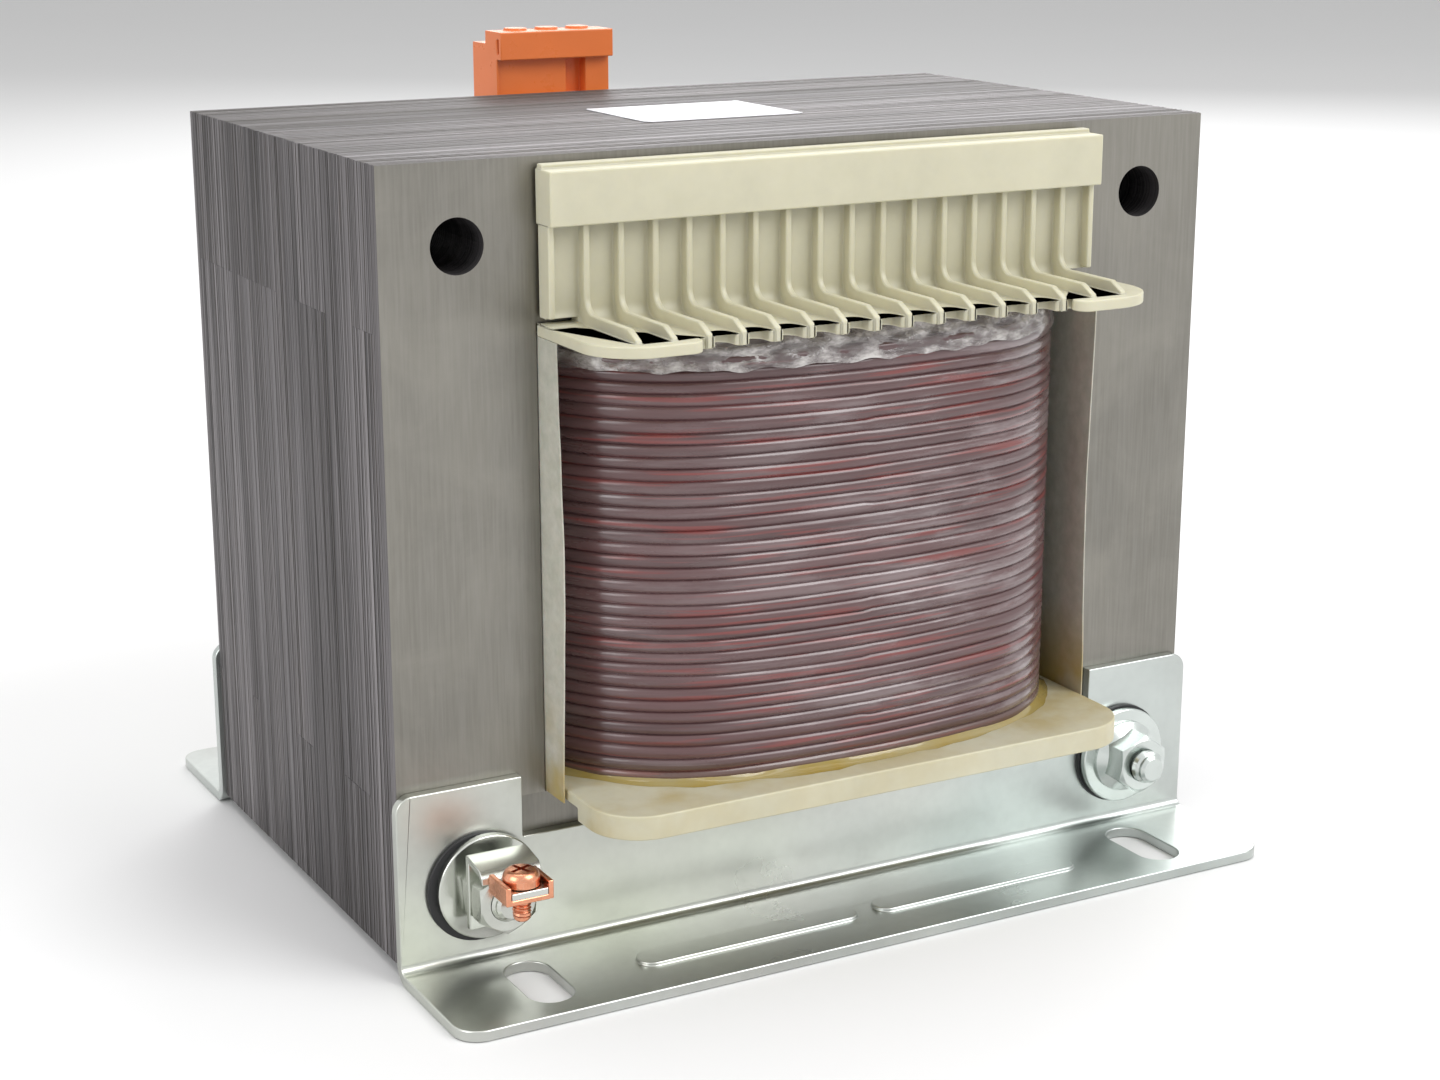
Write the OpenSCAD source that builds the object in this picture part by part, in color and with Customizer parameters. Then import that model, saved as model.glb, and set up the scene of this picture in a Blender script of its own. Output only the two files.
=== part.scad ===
// Laminated chassis transformer: an interleaved E and I core on two angle brackets, with a
// layer-wound coil on a ribbed bobbin, an earth clamp and a three-pole terminal block.
// Front is -Y, width runs along X, lamination stacking along Y and height along Z.
// The origin is the centre of the footprint, on the mounting surface.

/* [Core] */
// Width of one outer leg; the centre leg is two of these, as in every scrapless E and I sheet
leg_w = 35; // [32:0.5:38]
// Depth of the whole stack of sheets
stack_d = 120; // [90:1:150]
// Diameter of the four corner holes
core_hole_d = 12; // [11.5:0.1:14]

/* [Brackets] */
// Thickness of the zinc-plated sheet
bracket_t = 2.5; // [2:0.1:4]
// Length by which a bracket stands past the core at each end
bracket_over = 1.3; // [0:0.1:6]
// Height of the two ears above the underside of the core
ear_h = 40.5; // [34:0.5:50]
// Width of each ear
ear_w = 29.6; // [26:0.1:33]
// Height of the web between the ears
web_h = 26.5; // [20:0.5:32]
// Width of the foot, from the outer face of the web to its free edge
foot_w = 34; // [28:0.5:45]
// Inside radius of the bend
bend_r = 2; // [1:0.1:3]
// Distance between slot centres along the width
slot_dx = 163; // [155:0.5:172]
// Distance from the core face to the slot centres
slot_out = 20; // [17:0.5:24]
// Width of a mounting slot
slot_w = 10.5; // [8:0.1:12]
// Length of a mounting slot, end to end
slot_len = 22; // [15:0.5:24]
// Length of each pressed stiffening bead in the foot
bead_len = 56; // [40:1:60]
// Width of the bead
bead_w = 7; // [5:0.5:10]
// Gap between the two beads of a foot
bead_gap = 5; // [3:0.5:20]
// Height of the beads
bead_h = 0.9; // [0.4:0.1:1.5]

/* [Bobbin] */
// Wall of the tube round the centre leg
tube_t = 2; // [1.2:0.1:3]
// Thickness of the two flanges
flange_t = 2.5; // [1.5:0.1:3.5]
// Reach of the flange lobes in front of the core face
flange_reach = 33.5; // [30:0.5:38]
// Width of the smooth lobe at each end of the top flange
lobe_w = 23; // [15:1:30]
// Distance by which the scalloped edge stays behind the lobes
scallop_in = 3.5; // [2:0.1:6]
// Thickness of the upright terminal strip
strip_t = 2.6; // [1.5:0.1:4]
// Height of the upright strip above the window
strip_h = 33.6; // [26:0.2:34.6]
// Number of ribs between the two end posts
rib_n = 16; // [8:1:20]
// Distance from the ends of the strip's rib row to the sides of the flange
rib_inset = 1; // [0.8:0.1:27.5]
// Thickness of a rib
rib_t = 1.4; // [0.8:0.1:2]
// Height of a rib over the strip
rib_h = 2.6; // [1.5:0.1:4]
// Radius of the inside corner between strip and flange
corner_r = 3.5; // [2:0.5:10]
// Height of the head bar along the top of the strip
bar_h = 11.5; // [8:0.1:14]
// Depth of the head bar in front of the strip
bar_d = 4.8; // [3:0.1:7]
// Width of the notch between two ribs at the edge of the top flange
notch_w = 4.6; // [3:0.1:5]
// Drop of a rib's top towards the edge of the flange
rib_fade = 2; // [0:0.1:2.4]
// Depth of the notch
notch_d = 5.5; // [4:0.1:7]
// Depth of the lip that turns down from the bottom flange
lip_h = 3; // [1:0.1:5]

/* [Windings] */
// Clearance between the finished coil and each outer leg
coil_side_gap = 1.1; // [1.1:0.1:10]
// Reach of the bulging coil in front of the core face
coil_reach = 24; // [18:0.5:27]
// Radius of the coil's four corners
coil_corner_r = 42; // [30:1:50]
// Radius of its bulging ends
coil_end_r = 200; // [140:5:400]
// Free height left above the winding for the leads
lead_space = 4; // [3.6:0.1:8]
// Number of visible turns
turn_n = 35; // [20:1:45]
// Depth of the groove between two turns
groove = 0.7; // [0.3:0.1:1.2]
// Thickness of the insulation between the windings
layer_t = 1.2; // [0.6:0.1:2]
// Share of the winding depth that the inner winding takes
inner_share = 0.45; // [0.3:0.01:0.6]
// Thickness of the clear outer film
film_t = 0.3; // [0.2:0.05:0.5]
// Thickness of the window liners
liner_t = 0.5; // [0.3:0.1:1]
// Reach of the liners in front of the core face
liner_reach = 9; // [4:0.5:14]

/* [Fasteners] */
// Thread diameter of the two clamping bolts
bolt_d = 8; // [6:0.5:8]
// Length of bolt in front of the core face
bolt_out = 17.5; // [17.3:0.1:20]
// Diameter of the plain washers
washer_d = 24; // [18:0.5:26]
// Thickness of the plain washers
washer_t = 2; // [1:0.1:2.5]
// Diameter of the black insulating washers
ins_d = 25; // [22:0.5:26]
// Thickness of the insulating washers
ins_t = 1; // [0.5:0.1:1.5]
// Width across flats of the nuts and bolt heads
nut_af = 13; // [11:0.5:13]
// Height of the thin nut behind the earth tab
thin_nut_h = 3.2; // [3:0.1:5]
// Height of the full nut in front of the earth tab
nut_h = 5.2; // [5:0.1:7]
// Diameter of the flange of the flange nut
flange_nut_d = 17.9; // [16:0.1:20]
// Height of the flange nut
flange_nut_h = 8; // [6:0.1:9]
// Height of the bolt heads
head_h = 5.3; // [4:0.1:6]
// Distance by which the bracket holes bring the bolts inwards of the core holes
bolt_in = 1.4; // [0:0.1:1.4]
// Wall of the insulating sleeves
sleeve_t = 0.4; // [0.2:0.05:0.4]

/* [Earth clamp] */
// Width of the bent tab
tab_w = 14; // [13.5:0.1:16]
// Thickness of the tab
tab_t = 1.5; // [1:0.1:2]
// Gap between the full nut and the clamp's screw head
clamp_gap = 2.65; // [1.55:0.1:4.55]
// Height of the tab's shoulder above the bolt axis
tab_rise = 10; // [9.6:0.1:12]
// Drop from the shoulder to the end that carries the clamp
tab_drop = 3; // [2.5:0.1:5]
// Outer width of the copper saddle
saddle_w = 11; // [10.8:0.1:13]
// Length of the saddle
saddle_len = 9.3; // [8.8:0.1:10]
// Height of the saddle's side walls
saddle_h = 4.2; // [3.5:0.1:5]
// Sheet thickness of the saddle
saddle_t = 1.2; // [0.8:0.1:1.5]
// Thread diameter of the clamp screw
screw_d = 4; // [3:0.1:4.5]
// Diameter of the screw's pan head
screw_head_d = 8.2; // [6.5:0.1:8.3]
// Height of the pan head
screw_head_h = 3.5; // [2:0.1:4]
// Length of the screw's thread
screw_len = 8.2; // [7:0.1:12]

/* [Terminal block] */
// Number of poles
pole_n = 3; // [2:1:3]
// Distance between poles
pole_pitch = 8.75; // [8:0.05:10]
// Thickness of the end walls
block_wall = 2.8; // [2:0.1:4]
// Place of the block along the rear strip
block_x = -7; // [-20:1:20]
// Height of the block above the head bar
block_h = 17.8; // [15:0.1:22]
// Depth of the lower body
block_d = 15.2; // [13:0.1:18]
// Depth of the raised front half
raised_d = 7.1; // [6:0.1:9]
// Drop from the raised half to the rear step
step_h = 3.3; // [2:0.1:5]
// Height of the overhanging lip
brow_h = 7; // [5:0.1:9]
// Overhang of the lip
brow_d = 2.7; // [1:0.1:3]
// Diameter of the wire entries
entry_d = 3.8; // [3:0.1:4]
// Diameter of the lead wires with their sleeves
lead_d = 3.2; // [2:0.1:3.6]

/* [Label] */
// Width of the blank label on the top yoke
label_w = 42; // [20:1:60]
// Depth of the label
label_d = 33; // [20:1:45]
// Thickness of the label
label_t = 0.2; // [0.1:0.05:0.4]

/* [Hidden] */

// Clearances: sheet parts that slide over each other, and parts that drop into place
slide = 0.3;
seat = 0.1;

// Core: its underside lies on the feet of the brackets' own thickness
core_w = 6 * leg_w;
core_h = 5 * leg_w;
core_z = bracket_t;
face = stack_d / 2;
hole_x = 2.5 * leg_w;
low_hole_z = core_z + leg_w / 2;
high_hole_z = core_z + core_h - leg_w / 2;
window_z = core_z + leg_w;
window_top = core_z + core_h - leg_w;
// Shares of the stack that each interleaved packet takes, front to back
packet_shares = [4, 11, 16, 21, 11, 27, 4, 23, 3];
share_mm = stack_d / total(packet_shares);

// Bobbin
tube_hw = leg_w + slide + tube_t;
tube_hd = face + slide + tube_t;
window_hw = 2 * leg_w - 1.4;
outside_hw = 2 * leg_w;
rib_pitch = 2 * (outside_hw - rib_inset) / (rib_n + 1);
nose_r = (rib_pitch - notch_w) / 2 + 0.2;
low_flange_z = window_z + slide;
high_flange_z = window_top - slide - flange_t;
strip_gap = 1;
strip_y = face + strip_gap;
strip_top = window_top + strip_h;
bar_z = strip_top - 1 - bar_h;
plain_reach = flange_reach - 2;
bar_face = strip_y + strip_t + bar_d;
scallop_reach = flange_reach - scallop_in;
lobe_r = 12;
lobe_inner_r = 3;
lip_start = plain_reach - lobe_r - 6;

// Windings
coil_z = low_flange_z + flange_t + seat;
coil_h = high_flange_z - seat - coil_z;
wind_h = coil_h - lead_space;
turn_pitch = wind_h / turn_n;
coil_hw = outside_hw - coil_side_gap;
wind_depth = coil_hw - film_t - seat - tube_hw;
layer_share = layer_t / wind_depth;
liner_x = 2 * leg_w - slide - liner_t;

// Fasteners
bolt_x = hole_x - bolt_in;
shank_d = bolt_d - 0.1;
sleeve_in = bolt_d + 0.3;
sleeve_out = sleeve_in + 2 * sleeve_t;
bracket_hole_d = bolt_d + 1;
ins_y = face + bracket_t;
washer_y = ins_y + ins_t;
nut_y = washer_y + washer_t;
tab_y = nut_y + thin_nut_h;
full_nut_y = tab_y + tab_t;
tab_reach = tab_t + nut_h + clamp_gap + (screw_head_d + saddle_len) / 2;
shoulder_z = low_hole_z + tab_rise;
clamp_z = shoulder_z - tab_drop;
ins_hole_d = bolt_d + 3;
ins_slip = [-1.3, -0.4];

// Terminal block
block_w = pole_n * pole_pitch + 2 * block_wall;
block_y = strip_y + strip_t;
block_z = bar_z + bar_h + seat;
block_top = block_z + block_h;
block_back = block_y + block_d;
cage_w = pole_pitch - 2;
cage_h = 7.5;
cage_y = block_y + raised_d - 0.6;
cage_d = block_back - cage_y - 1.5;
cage_z = block_top - step_h - 4 - cage_h;

function total(list, i = 0) = i == len(list) ? 0 : list[i] + total(list, i + 1);
function packet_front(n) = -face + share_mm * total([for (i = [0:1:n - 2]) packet_shares[i]]);
function seam_is_low(n) = n % 2 == 1;

// The coil at a share of its winding depth, from the tube at 0 to the full bulge at 1
function coil_half(share) = tube_hw + share * wind_depth;
function coil_end(share) = tube_hd + share * (face + coil_reach - film_t - seat - tube_hd);
function corner_radius(share) = 6 + share * (coil_corner_r - 6);
function end_radius(share) = coil_end_r / max(share, 0.1);

// Its plan: straight flanks, round corners and bulging ends, all tangent. An inset shrinks it.
module coil_plan(share, inset = 0) {
    half = coil_half(share) - inset;
    end = coil_end(share) - inset;
    corner = corner_radius(share) - inset;
    bulge = end_radius(share) - inset;
    corner_x = half - corner;
    corner_y = end - bulge + sqrt(pow(bulge - corner, 2) - pow(corner_x, 2));
    tangent_x = corner_x * bulge / (bulge - corner);
    square([2 * half, 2 * corner_y], center = true);
    for (sx = [-1, 1], sy = [-1, 1])
        translate([sx * corner_x, sy * corner_y]) circle(r = corner, $fn = 96);
    for (sy = [-1, 1]) intersection() {
        translate([0, sy * (end - bulge)]) circle(r = bulge, $fn = 360);
        translate([0, sy * end / 2]) square([2 * tangent_x, end], center = true);
    }
}

module upright(y0, y1) {
    translate([0, y1, 0]) rotate([90, 0, 0]) linear_extrude(y1 - y0) children();
}

module both_ways() {
    children();
    mirror([0, 1, 0]) children();
}

module slot_shape(length, width) {
    hull_free = (length - width) / 2;
    square([width, 2 * hull_free], center = true);
    for (side = [-1, 1]) translate([0, side * hull_free]) circle(d = width, $fn = 48);
}

// ---- Core -------------------------------------------------------------------------------

module e_sheet() {
    difference() {
        translate([-core_w / 2, 0]) square([core_w, core_h - leg_w]);
        for (side = [-1, 1])
            translate([side * 1.5 * leg_w - leg_w / 2, leg_w]) square([leg_w, core_h]);
        for (side = [-1, 1]) translate([side * hole_x, leg_w / 2]) circle(d = core_hole_d, $fn = 48);
    }
}

module i_sheet() {
    difference() {
        translate([-core_w / 2, core_h - leg_w]) square([core_w, leg_w]);
        for (side = [-1, 1])
            translate([side * hole_x, core_h - leg_w / 2]) circle(d = core_hole_d, $fn = 48);
    }
}

module turned_over(n) {
    translate([0, seam_is_low(n) ? core_h : 0]) scale([1, seam_is_low(n) ? -1 : 1]) children();
}

module packet(n) {
    translate([0, 0, core_z])
        upright(packet_front(n), packet_front(n + 1)) turned_over(n) children();
}

module e_packet(n) { color("dimgray") packet(n) e_sheet(); }
module i_packet(n) { color("gray") packet(n) i_sheet(); }

// ---- Bobbin -----------------------------------------------------------------------------

// Plan of the half of the top flange in front of the core, with a notch between each two ribs
module scalloped_plan() {
    inner = outside_hw - lobe_w;
    difference() {
        union() {
            translate([-window_hw, -face]) square([2 * window_hw, face - seat / 2]);
            translate([-outside_hw, -face - scallop_reach + nose_r])
                square([2 * outside_hw, scallop_reach - nose_r - slide]);
            for (i = [0:rib_n - 1]) {
                x = (i - (rib_n - 1) / 2) * rib_pitch;
                if (abs(x) < inner) translate([x, -face - scallop_reach + nose_r])
                    circle(r = nose_r, $fn = 32);
            }
            for (side = [-1, 1]) {
                translate([side * (outside_hw - lobe_r), -face - flange_reach + lobe_r])
                    circle(r = lobe_r, $fn = 64);
                translate([side * (inner + lobe_inner_r), -face - flange_reach + lobe_inner_r])
                    circle(r = lobe_inner_r, $fn = 48);
                translate([side * (inner + outside_hw + lobe_inner_r - lobe_r) / 2,
                           -face - flange_reach / 2])
                    square([lobe_w - lobe_r - lobe_inner_r, flange_reach], center = true);
            }
        }
        for (side = [-1, 1])
            translate([side * outside_hw, -face - flange_reach]) corner_waste(side, lobe_r);
        for (i = [0:rib_n - 2]) {
            x = (i + 1 - rib_n / 2) * rib_pitch;
            if (abs(x) < inner - notch_w / 2) translate([x, -face - scallop_reach]) {
                translate([0, notch_d - notch_w / 2]) circle(d = notch_w, $fn = 48);
                translate([-notch_w / 2, -1]) square([notch_w, notch_d - notch_w / 2 + 1]);
            }
        }
    }
}

// What a rounded corner leaves of the square it is cut from
module corner_waste(side, r) {
    difference() {
        translate([side > 0 ? -r : -1, -1]) square([r + 1, r + 1]);
        translate([-side * r, r]) circle(r = r, $fn = 64);
    }
}

module plain_plan(inset = 0) {
    half = window_hw - inset;
    reach = plain_reach - inset;
    difference() {
        translate([-half, -face - reach]) square([2 * half, face + reach]);
        for (side = [-1, 1])
            translate([side * half, -face - reach]) corner_waste(side, lobe_r - inset);
    }
}

// Section of the strip, its inside corner and the flange, thickened by a rib's height
module angle_section(extra, reach) {
    y0 = strip_y;
    z0 = high_flange_z;
    top = bar_z + 1;
    rise = strip_t + extra;
    floor = z0 + flange_t + extra;
    difference() {
        union() {
            translate([y0, z0]) square([rise, top - z0]);
            translate([y0, z0]) square([face + reach - y0, floor - z0]);
            translate([y0 + rise, floor]) square(corner_r);
        }
        translate([y0 + rise + corner_r, floor + corner_r]) circle(r = corner_r, $fn = 48);
    }
}

module along_x(x, length) {
    translate([x, 0, 0]) rotate([90, 0, -90]) linear_extrude(length, center = true)
        children();
}

module terminal_strip() {
    post_x = (rib_n + 1) / 2 * rib_pitch;
    strip_w = 2 * post_x + rib_t;
    difference() {
        along_x(0, strip_w) union() {
            angle_section(0, strip_gap + strip_t + corner_r);
            translate([strip_y, bar_z]) square([strip_t, strip_top - bar_z]);
        }
        // The end bays stand free of the flange
        for (side = [-1, 1])
            translate([side * (post_x + rib_t) - rib_pitch, -face - flange_reach,
                       high_flange_z + flange_t + 0.4])
                cube([2 * rib_pitch, flange_reach - strip_gap + 0.5, 1.2]);
    }
    for (i = [0:rib_n - 1])
        along_x((i - (rib_n - 1) / 2) * rib_pitch, rib_t) difference() {
            angle_section(rib_h, scallop_reach);
            fade_z = high_flange_z + flange_t + rib_h;
            polygon([[face + scallop_reach - 4, fade_z], [face + scallop_reach, fade_z - rib_fade],
                     [face + scallop_reach + 1, fade_z - rib_fade],
                     [face + scallop_reach + 1, fade_z + 1]]);
        }
    for (side = [-1, 1])
        translate([side * post_x - rib_t / 2, -strip_y - strip_t - rib_h, window_top + 1.6])
            cube([rib_t, rib_h + strip_t, bar_z - window_top]);
    translate([-strip_w / 2 - 0.4, -bar_face, bar_z]) cube([strip_w + 0.8, bar_d + strip_t, bar_h]);
}

module tube_hole() {
    translate([0, 0, low_flange_z - lip_h - 1])
        linear_extrude(high_flange_z + flange_t + lip_h + 2 - low_flange_z)
            square([2 * (tube_hw + seat), 2 * (tube_hd + seat)], center = true);
}

module bobbin_tube() {
    color("beige") translate([0, 0, low_flange_z])
        linear_extrude(high_flange_z + flange_t - low_flange_z) difference() {
            square([2 * tube_hw, 2 * tube_hd], center = true);
            square([2 * (tube_hw - tube_t), 2 * (tube_hd - tube_t)], center = true);
        }
}

// One half of the top flange, with its upright strip
module terminal_flange() {
    color("beige") difference() {
        union() {
            translate([0, 0, high_flange_z]) linear_extrude(flange_t) scalloped_plan();
            terminal_strip();
        }
        tube_hole();
    }
}
module front_flange() { terminal_flange(); }
module rear_flange() { mirror([0, 1, 0]) terminal_flange(); }

// Its edge turns down all round in front of the core
module bottom_flange() {
    color("beige") difference() {
        both_ways() {
            translate([0, 0, low_flange_z]) linear_extrude(flange_t) plain_plan();
            translate([0, 0, low_flange_z - lip_h]) linear_extrude(lip_h + flange_t / 2)
                difference() {
                    plain_plan();
                    plain_plan(flange_t);
                    translate([-outside_hw, -face - lip_start])
                        square([2 * outside_hw, face + lip_start]);
                }
        }
        tube_hole();
    }
}

// ---- Windings ---------------------------------------------------------------------------

module coil_ring(outer, inner, h) {
    translate([0, 0, coil_z]) linear_extrude(h) difference() {
        coil_plan(outer);
        coil_core(inner);
    }
}

// What a winding is wound on: the bobbin's tube, or the layer below
module coil_core(share) {
    if (share > 0) coil_plan(share, -seat);
    else square([2 * tube_hw + 2 * seat, 2 * tube_hd + 2 * seat], center = true);
}

module inner_winding() { color("saddlebrown") coil_ring(inner_share, 0, wind_h); }
module layer_insulation() {
    color("ivory") coil_ring(inner_share + layer_share, inner_share, wind_h);
}

// The visible layer: one ridge for each turn, with a groove between it and the next
module outer_winding() {
    land = turn_pitch * 0.66;
    color("rosybrown") difference() {
        union() {
            translate([0, 0, coil_z]) linear_extrude(wind_h) coil_plan(1, groove);
            for (turn = [0:turn_n - 1])
                translate([0, 0, coil_z + (turn + 0.17) * turn_pitch]) linear_extrude(land)
                    coil_plan(1);
        }
        translate([0, 0, coil_z - 1]) linear_extrude(wind_h + 2)
            coil_core(inner_share + layer_share);
    }
}

module coil_film() {
    color("lightgray", 0.3) difference() {
        translate([0, 0, coil_z]) linear_extrude(coil_h) difference() {
            coil_plan(1, -film_t - seat);
            coil_plan(1, -seat);
        }
        // Slits for the leads
        for (i = [0:pole_n - 1])
            translate([lead_x(i) - lead_d / 2 - slide, face, coil_z + wind_h])
                cube([lead_d + 2 * slide, coil_reach + 2, lead_space + 1]);
    }
}

module liner(side) {
    color("honeydew")
        translate([side > 0 ? liner_x : -liner_x - liner_t, -face - liner_reach, window_z + seat])
            cube([liner_t, stack_d + 2 * liner_reach, high_flange_z - window_z - 2 * seat]);
}
module left_liner() { liner(-1); }
module right_liner() { liner(1); }

// ---- Brackets ---------------------------------------------------------------------------

module bracket_section() {
    outer_r = bend_r + bracket_t;
    difference() {
        union() {
            translate([face, 0]) square([bracket_t, ear_h + core_z]);
            translate([face, 0]) square([bracket_t + foot_w, bracket_t]);
            translate([face + bracket_t, bracket_t]) square(bend_r);
        }
        translate([face + outer_r, outer_r]) circle(r = bend_r, $fn = 48);
        difference() {
            translate([face - 1, -1]) square(outer_r + 1);
            translate([face + outer_r, outer_r]) circle(r = outer_r, $fn = 48);
        }
    }
}

module bracket() {
    length = core_w + 2 * bracket_over;
    ear_r = 4;
    foot_r = 6;
    foot_edge = face + bracket_t + foot_w;
    difference() {
        along_x(0, length) bracket_section();
        // Opening between the ears
        translate([-length / 2 + ear_w, -face - bracket_t - 1, core_z + web_h])
            cube([length - 2 * ear_w, bracket_t + 2, ear_h]);
        for (side = [-1, 1]) {
            translate([side * bolt_x, -face + 1, low_hole_z]) rotate([90, 0, 0])
                cylinder(d = bracket_hole_d, h = bracket_t + 2, $fn = 48);
            translate([side * slot_dx / 2, -face - slot_out, -1])
                linear_extrude(bracket_t + 2) slot_shape(slot_len, slot_w);
            // Rounded top corner of the ear
            translate([side * length / 2, 0, core_z + ear_h]) upright(-face - bracket_t - 1, -face + 1)
                difference() {
                    translate([side > 0 ? -ear_r : -1, -ear_r]) square([ear_r + 1, ear_r + 1]);
                    translate([-side * ear_r, -ear_r]) circle(r = ear_r, $fn = 48);
                }
            // Rounded corner of the foot
            translate([side * length / 2, -foot_edge, -1]) linear_extrude(bracket_t + 2)
                difference() {
                    translate([side > 0 ? -foot_r : -1, -1]) square([foot_r + 1, foot_r + 1]);
                    translate([-side * foot_r, foot_r]) circle(r = foot_r, $fn = 48);
                }
        }
        bead(-1, bead_h);
    }
    bead(bracket_t - 0.01, bead_h);
}

// Raised on the foot's upper face and hollow below
module bead(z, h) {
    below = z < 0;
    y = -face - bracket_t - foot_w / 2 - 2.5;
    w = bead_w - (below ? 2 * bead_h : 0);
    for (side = [-1, 1])
        translate([side * (bead_len + bead_gap) / 2, y, below ? -0.01 : z]) linear_extrude(h)
            rotate(90) slot_shape(bead_len, w);
}

module front_bracket() { color("lightsteelblue") bracket(); }
module rear_bracket() { color("lightsteelblue") mirror([0, 1, 0]) bracket(); }

// ---- Fasteners --------------------------------------------------------------------------

// Places its child on the axis of a lower bolt, at a distance in front of the centre plane
module on_bolt(side, y) {
    translate([side * bolt_x, -y, low_hole_z]) rotate([90, 0, 0]) children();
}

module hexagon(af, h) { cylinder(d = af / cos(30), h = h, $fn = 6); }

module clamping_bolts() {
    color("silver") for (side = [-1, 1]) on_bolt(side, -nut_y) {
        cylinder(d = shank_d, h = nut_y + face + bolt_out - 0.8, $fn = 48);
        cylinder(d = shank_d - 1.6, h = nut_y + face + bolt_out, $fn = 48);
        translate([0, 0, -head_h]) hexagon(nut_af, head_h);
    }
}

module ring(outer, inner, h) {
    difference() {
        cylinder(d = outer, h = h, $fn = 64);
        translate([0, 0, -1]) cylinder(d = inner, h = h + 2, $fn = 48);
    }
}

module insulating_sleeves() {
    color("black") for (side = [-1, 1])
        on_bolt(side, -face) ring(sleeve_out, sleeve_in, stack_d);
}

module four_rings(y, outer, inner, h) {
    for (side = [-1, 1]) {
        on_bolt(side, y) ring(outer, inner, h);
        on_bolt(side, -y - h) ring(outer, inner, h);
    }
}

// The one behind the earth clamp hangs off centre on its bolt
module insulating_washers() {
    color("black") for (side = [-1, 1]) {
        on_bolt(side, ins_y) translate(side < 0 ? ins_slip : [0, 0])
            ring(ins_d, ins_hole_d, ins_t);
        on_bolt(side, -ins_y - ins_t) ring(ins_d, ins_hole_d, ins_t);
    }
}
module plain_washers() {
    color("silver") four_rings(washer_y, washer_d, bolt_d + 0.4, washer_t);
}

module nut(h) {
    difference() {
        hexagon(nut_af, h);
        translate([0, 0, -1]) cylinder(d = bolt_d, h = h + 2, $fn = 48);
    }
}

module thin_nut() { color("silver") on_bolt(-1, nut_y) nut(thin_nut_h); }
module full_nut() { color("silver") on_bolt(-1, full_nut_y) nut(nut_h); }
module flange_nut() {
    rim = 1.5;
    color("silver") on_bolt(1, nut_y) {
        ring(flange_nut_d, bolt_d, rim);
        translate([0, 0, rim]) nut(flange_nut_h - rim);
    }
}

// ---- Earth clamp ------------------------------------------------------------------------

// Screw axis, in the middle of the saddle at the tab's free end
clamp_y = -tab_y - tab_reach + saddle_len / 2;

// Side view of the tab, from the bolt over its shoulder to the lower end in the saddle
module tab_section() {
    low = low_hole_z - tab_w / 2;
    bend = -clamp_y - screw_head_d / 2 - 0.1 - tab_y;
    knee = bend - 2;
    knee_z = shoulder_z - 0.35 * tab_drop;
    polygon([
        [tab_y, low], [tab_y + tab_t, low], [tab_y + tab_t, shoulder_z - tab_t],
        [tab_y + knee - 0.3, knee_z - tab_t], [tab_y + bend, clamp_z - tab_t],
        [tab_y + tab_reach, clamp_z - tab_t], [tab_y + tab_reach, clamp_z],
        [tab_y + bend, clamp_z], [tab_y + knee, knee_z], [tab_y + tab_t, shoulder_z],
        [tab_y, shoulder_z]
    ]);
}

module earth_tab() {
    neck = saddle_w - 2 * saddle_t - 2 * seat;
    color("silver") difference() {
        along_x(-bolt_x, tab_w) tab_section();
        // The free end is narrower, to sit between the saddle's walls
        for (side = [-1, 1])
            translate([-bolt_x + side * (neck + tab_w) / 2 - tab_w / 2, -tab_y - tab_reach - 1,
                       clamp_z - 2 * saddle_h])
                cube([tab_w, saddle_len + 1 + seat, 4 * saddle_h]);
        on_bolt(-1, tab_y - 1) cylinder(d = bolt_d + 0.4, h = tab_t + 2, $fn = 48);
        translate([-bolt_x, clamp_y, clamp_z - 5]) cylinder(d = screw_d + 0.2, h = 9, $fn = 48);
    }
}

module earth_saddle() {
    low = clamp_z - tab_t - saddle_t;
    color("sandybrown") difference() {
        translate([-bolt_x - saddle_w / 2, -tab_y - tab_reach, low])
            cube([saddle_w, saddle_len, saddle_h]);
        translate([-bolt_x - saddle_w / 2 + saddle_t, -tab_y - tab_reach - 1, low + saddle_t])
            cube([saddle_w - 2 * saddle_t, saddle_len + 2, saddle_h]);
        translate([-bolt_x, clamp_y, low - 1])
            cylinder(d = screw_d + 0.1, h = saddle_t + 2, $fn = 48);
    }
}

module earth_screw() {
    color("sandybrown") translate([-bolt_x, clamp_y, clamp_z]) {
        difference() {
            cylinder(d = screw_head_d, h = screw_head_h, $fn = 48);
            for (turn = [0, 90]) rotate(turn)
                translate([-screw_head_d * 0.3, -0.5, screw_head_h - 1.2])
                    cube([screw_head_d * 0.6, 1, 2]);
        }
        translate([0, 0, -screw_len]) cylinder(d = screw_d, h = screw_len, $fn = 48);
    }
}

// ---- Terminal block ---------------------------------------------------------------------

function pole_x(i) = block_x + (i - (pole_n - 1) / 2) * pole_pitch;

module terminal_section() {
    hook_z = bar_z - 1.6;
    hook_y = strip_y + strip_t + rib_h + seat;
    polygon([
        [block_y, block_z], [bar_face + seat, block_z], [bar_face + seat, bar_z - seat],
        [hook_y, bar_z - seat], [hook_y + 1, hook_z], [block_back, hook_z],
        [block_back, block_top - step_h], [block_y + raised_d, block_top - step_h],
        [block_y + raised_d, block_top], [block_y - brow_d, block_top],
        [block_y - brow_d, block_top - brow_h], [block_y, block_top - brow_h]
    ]);
}

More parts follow.
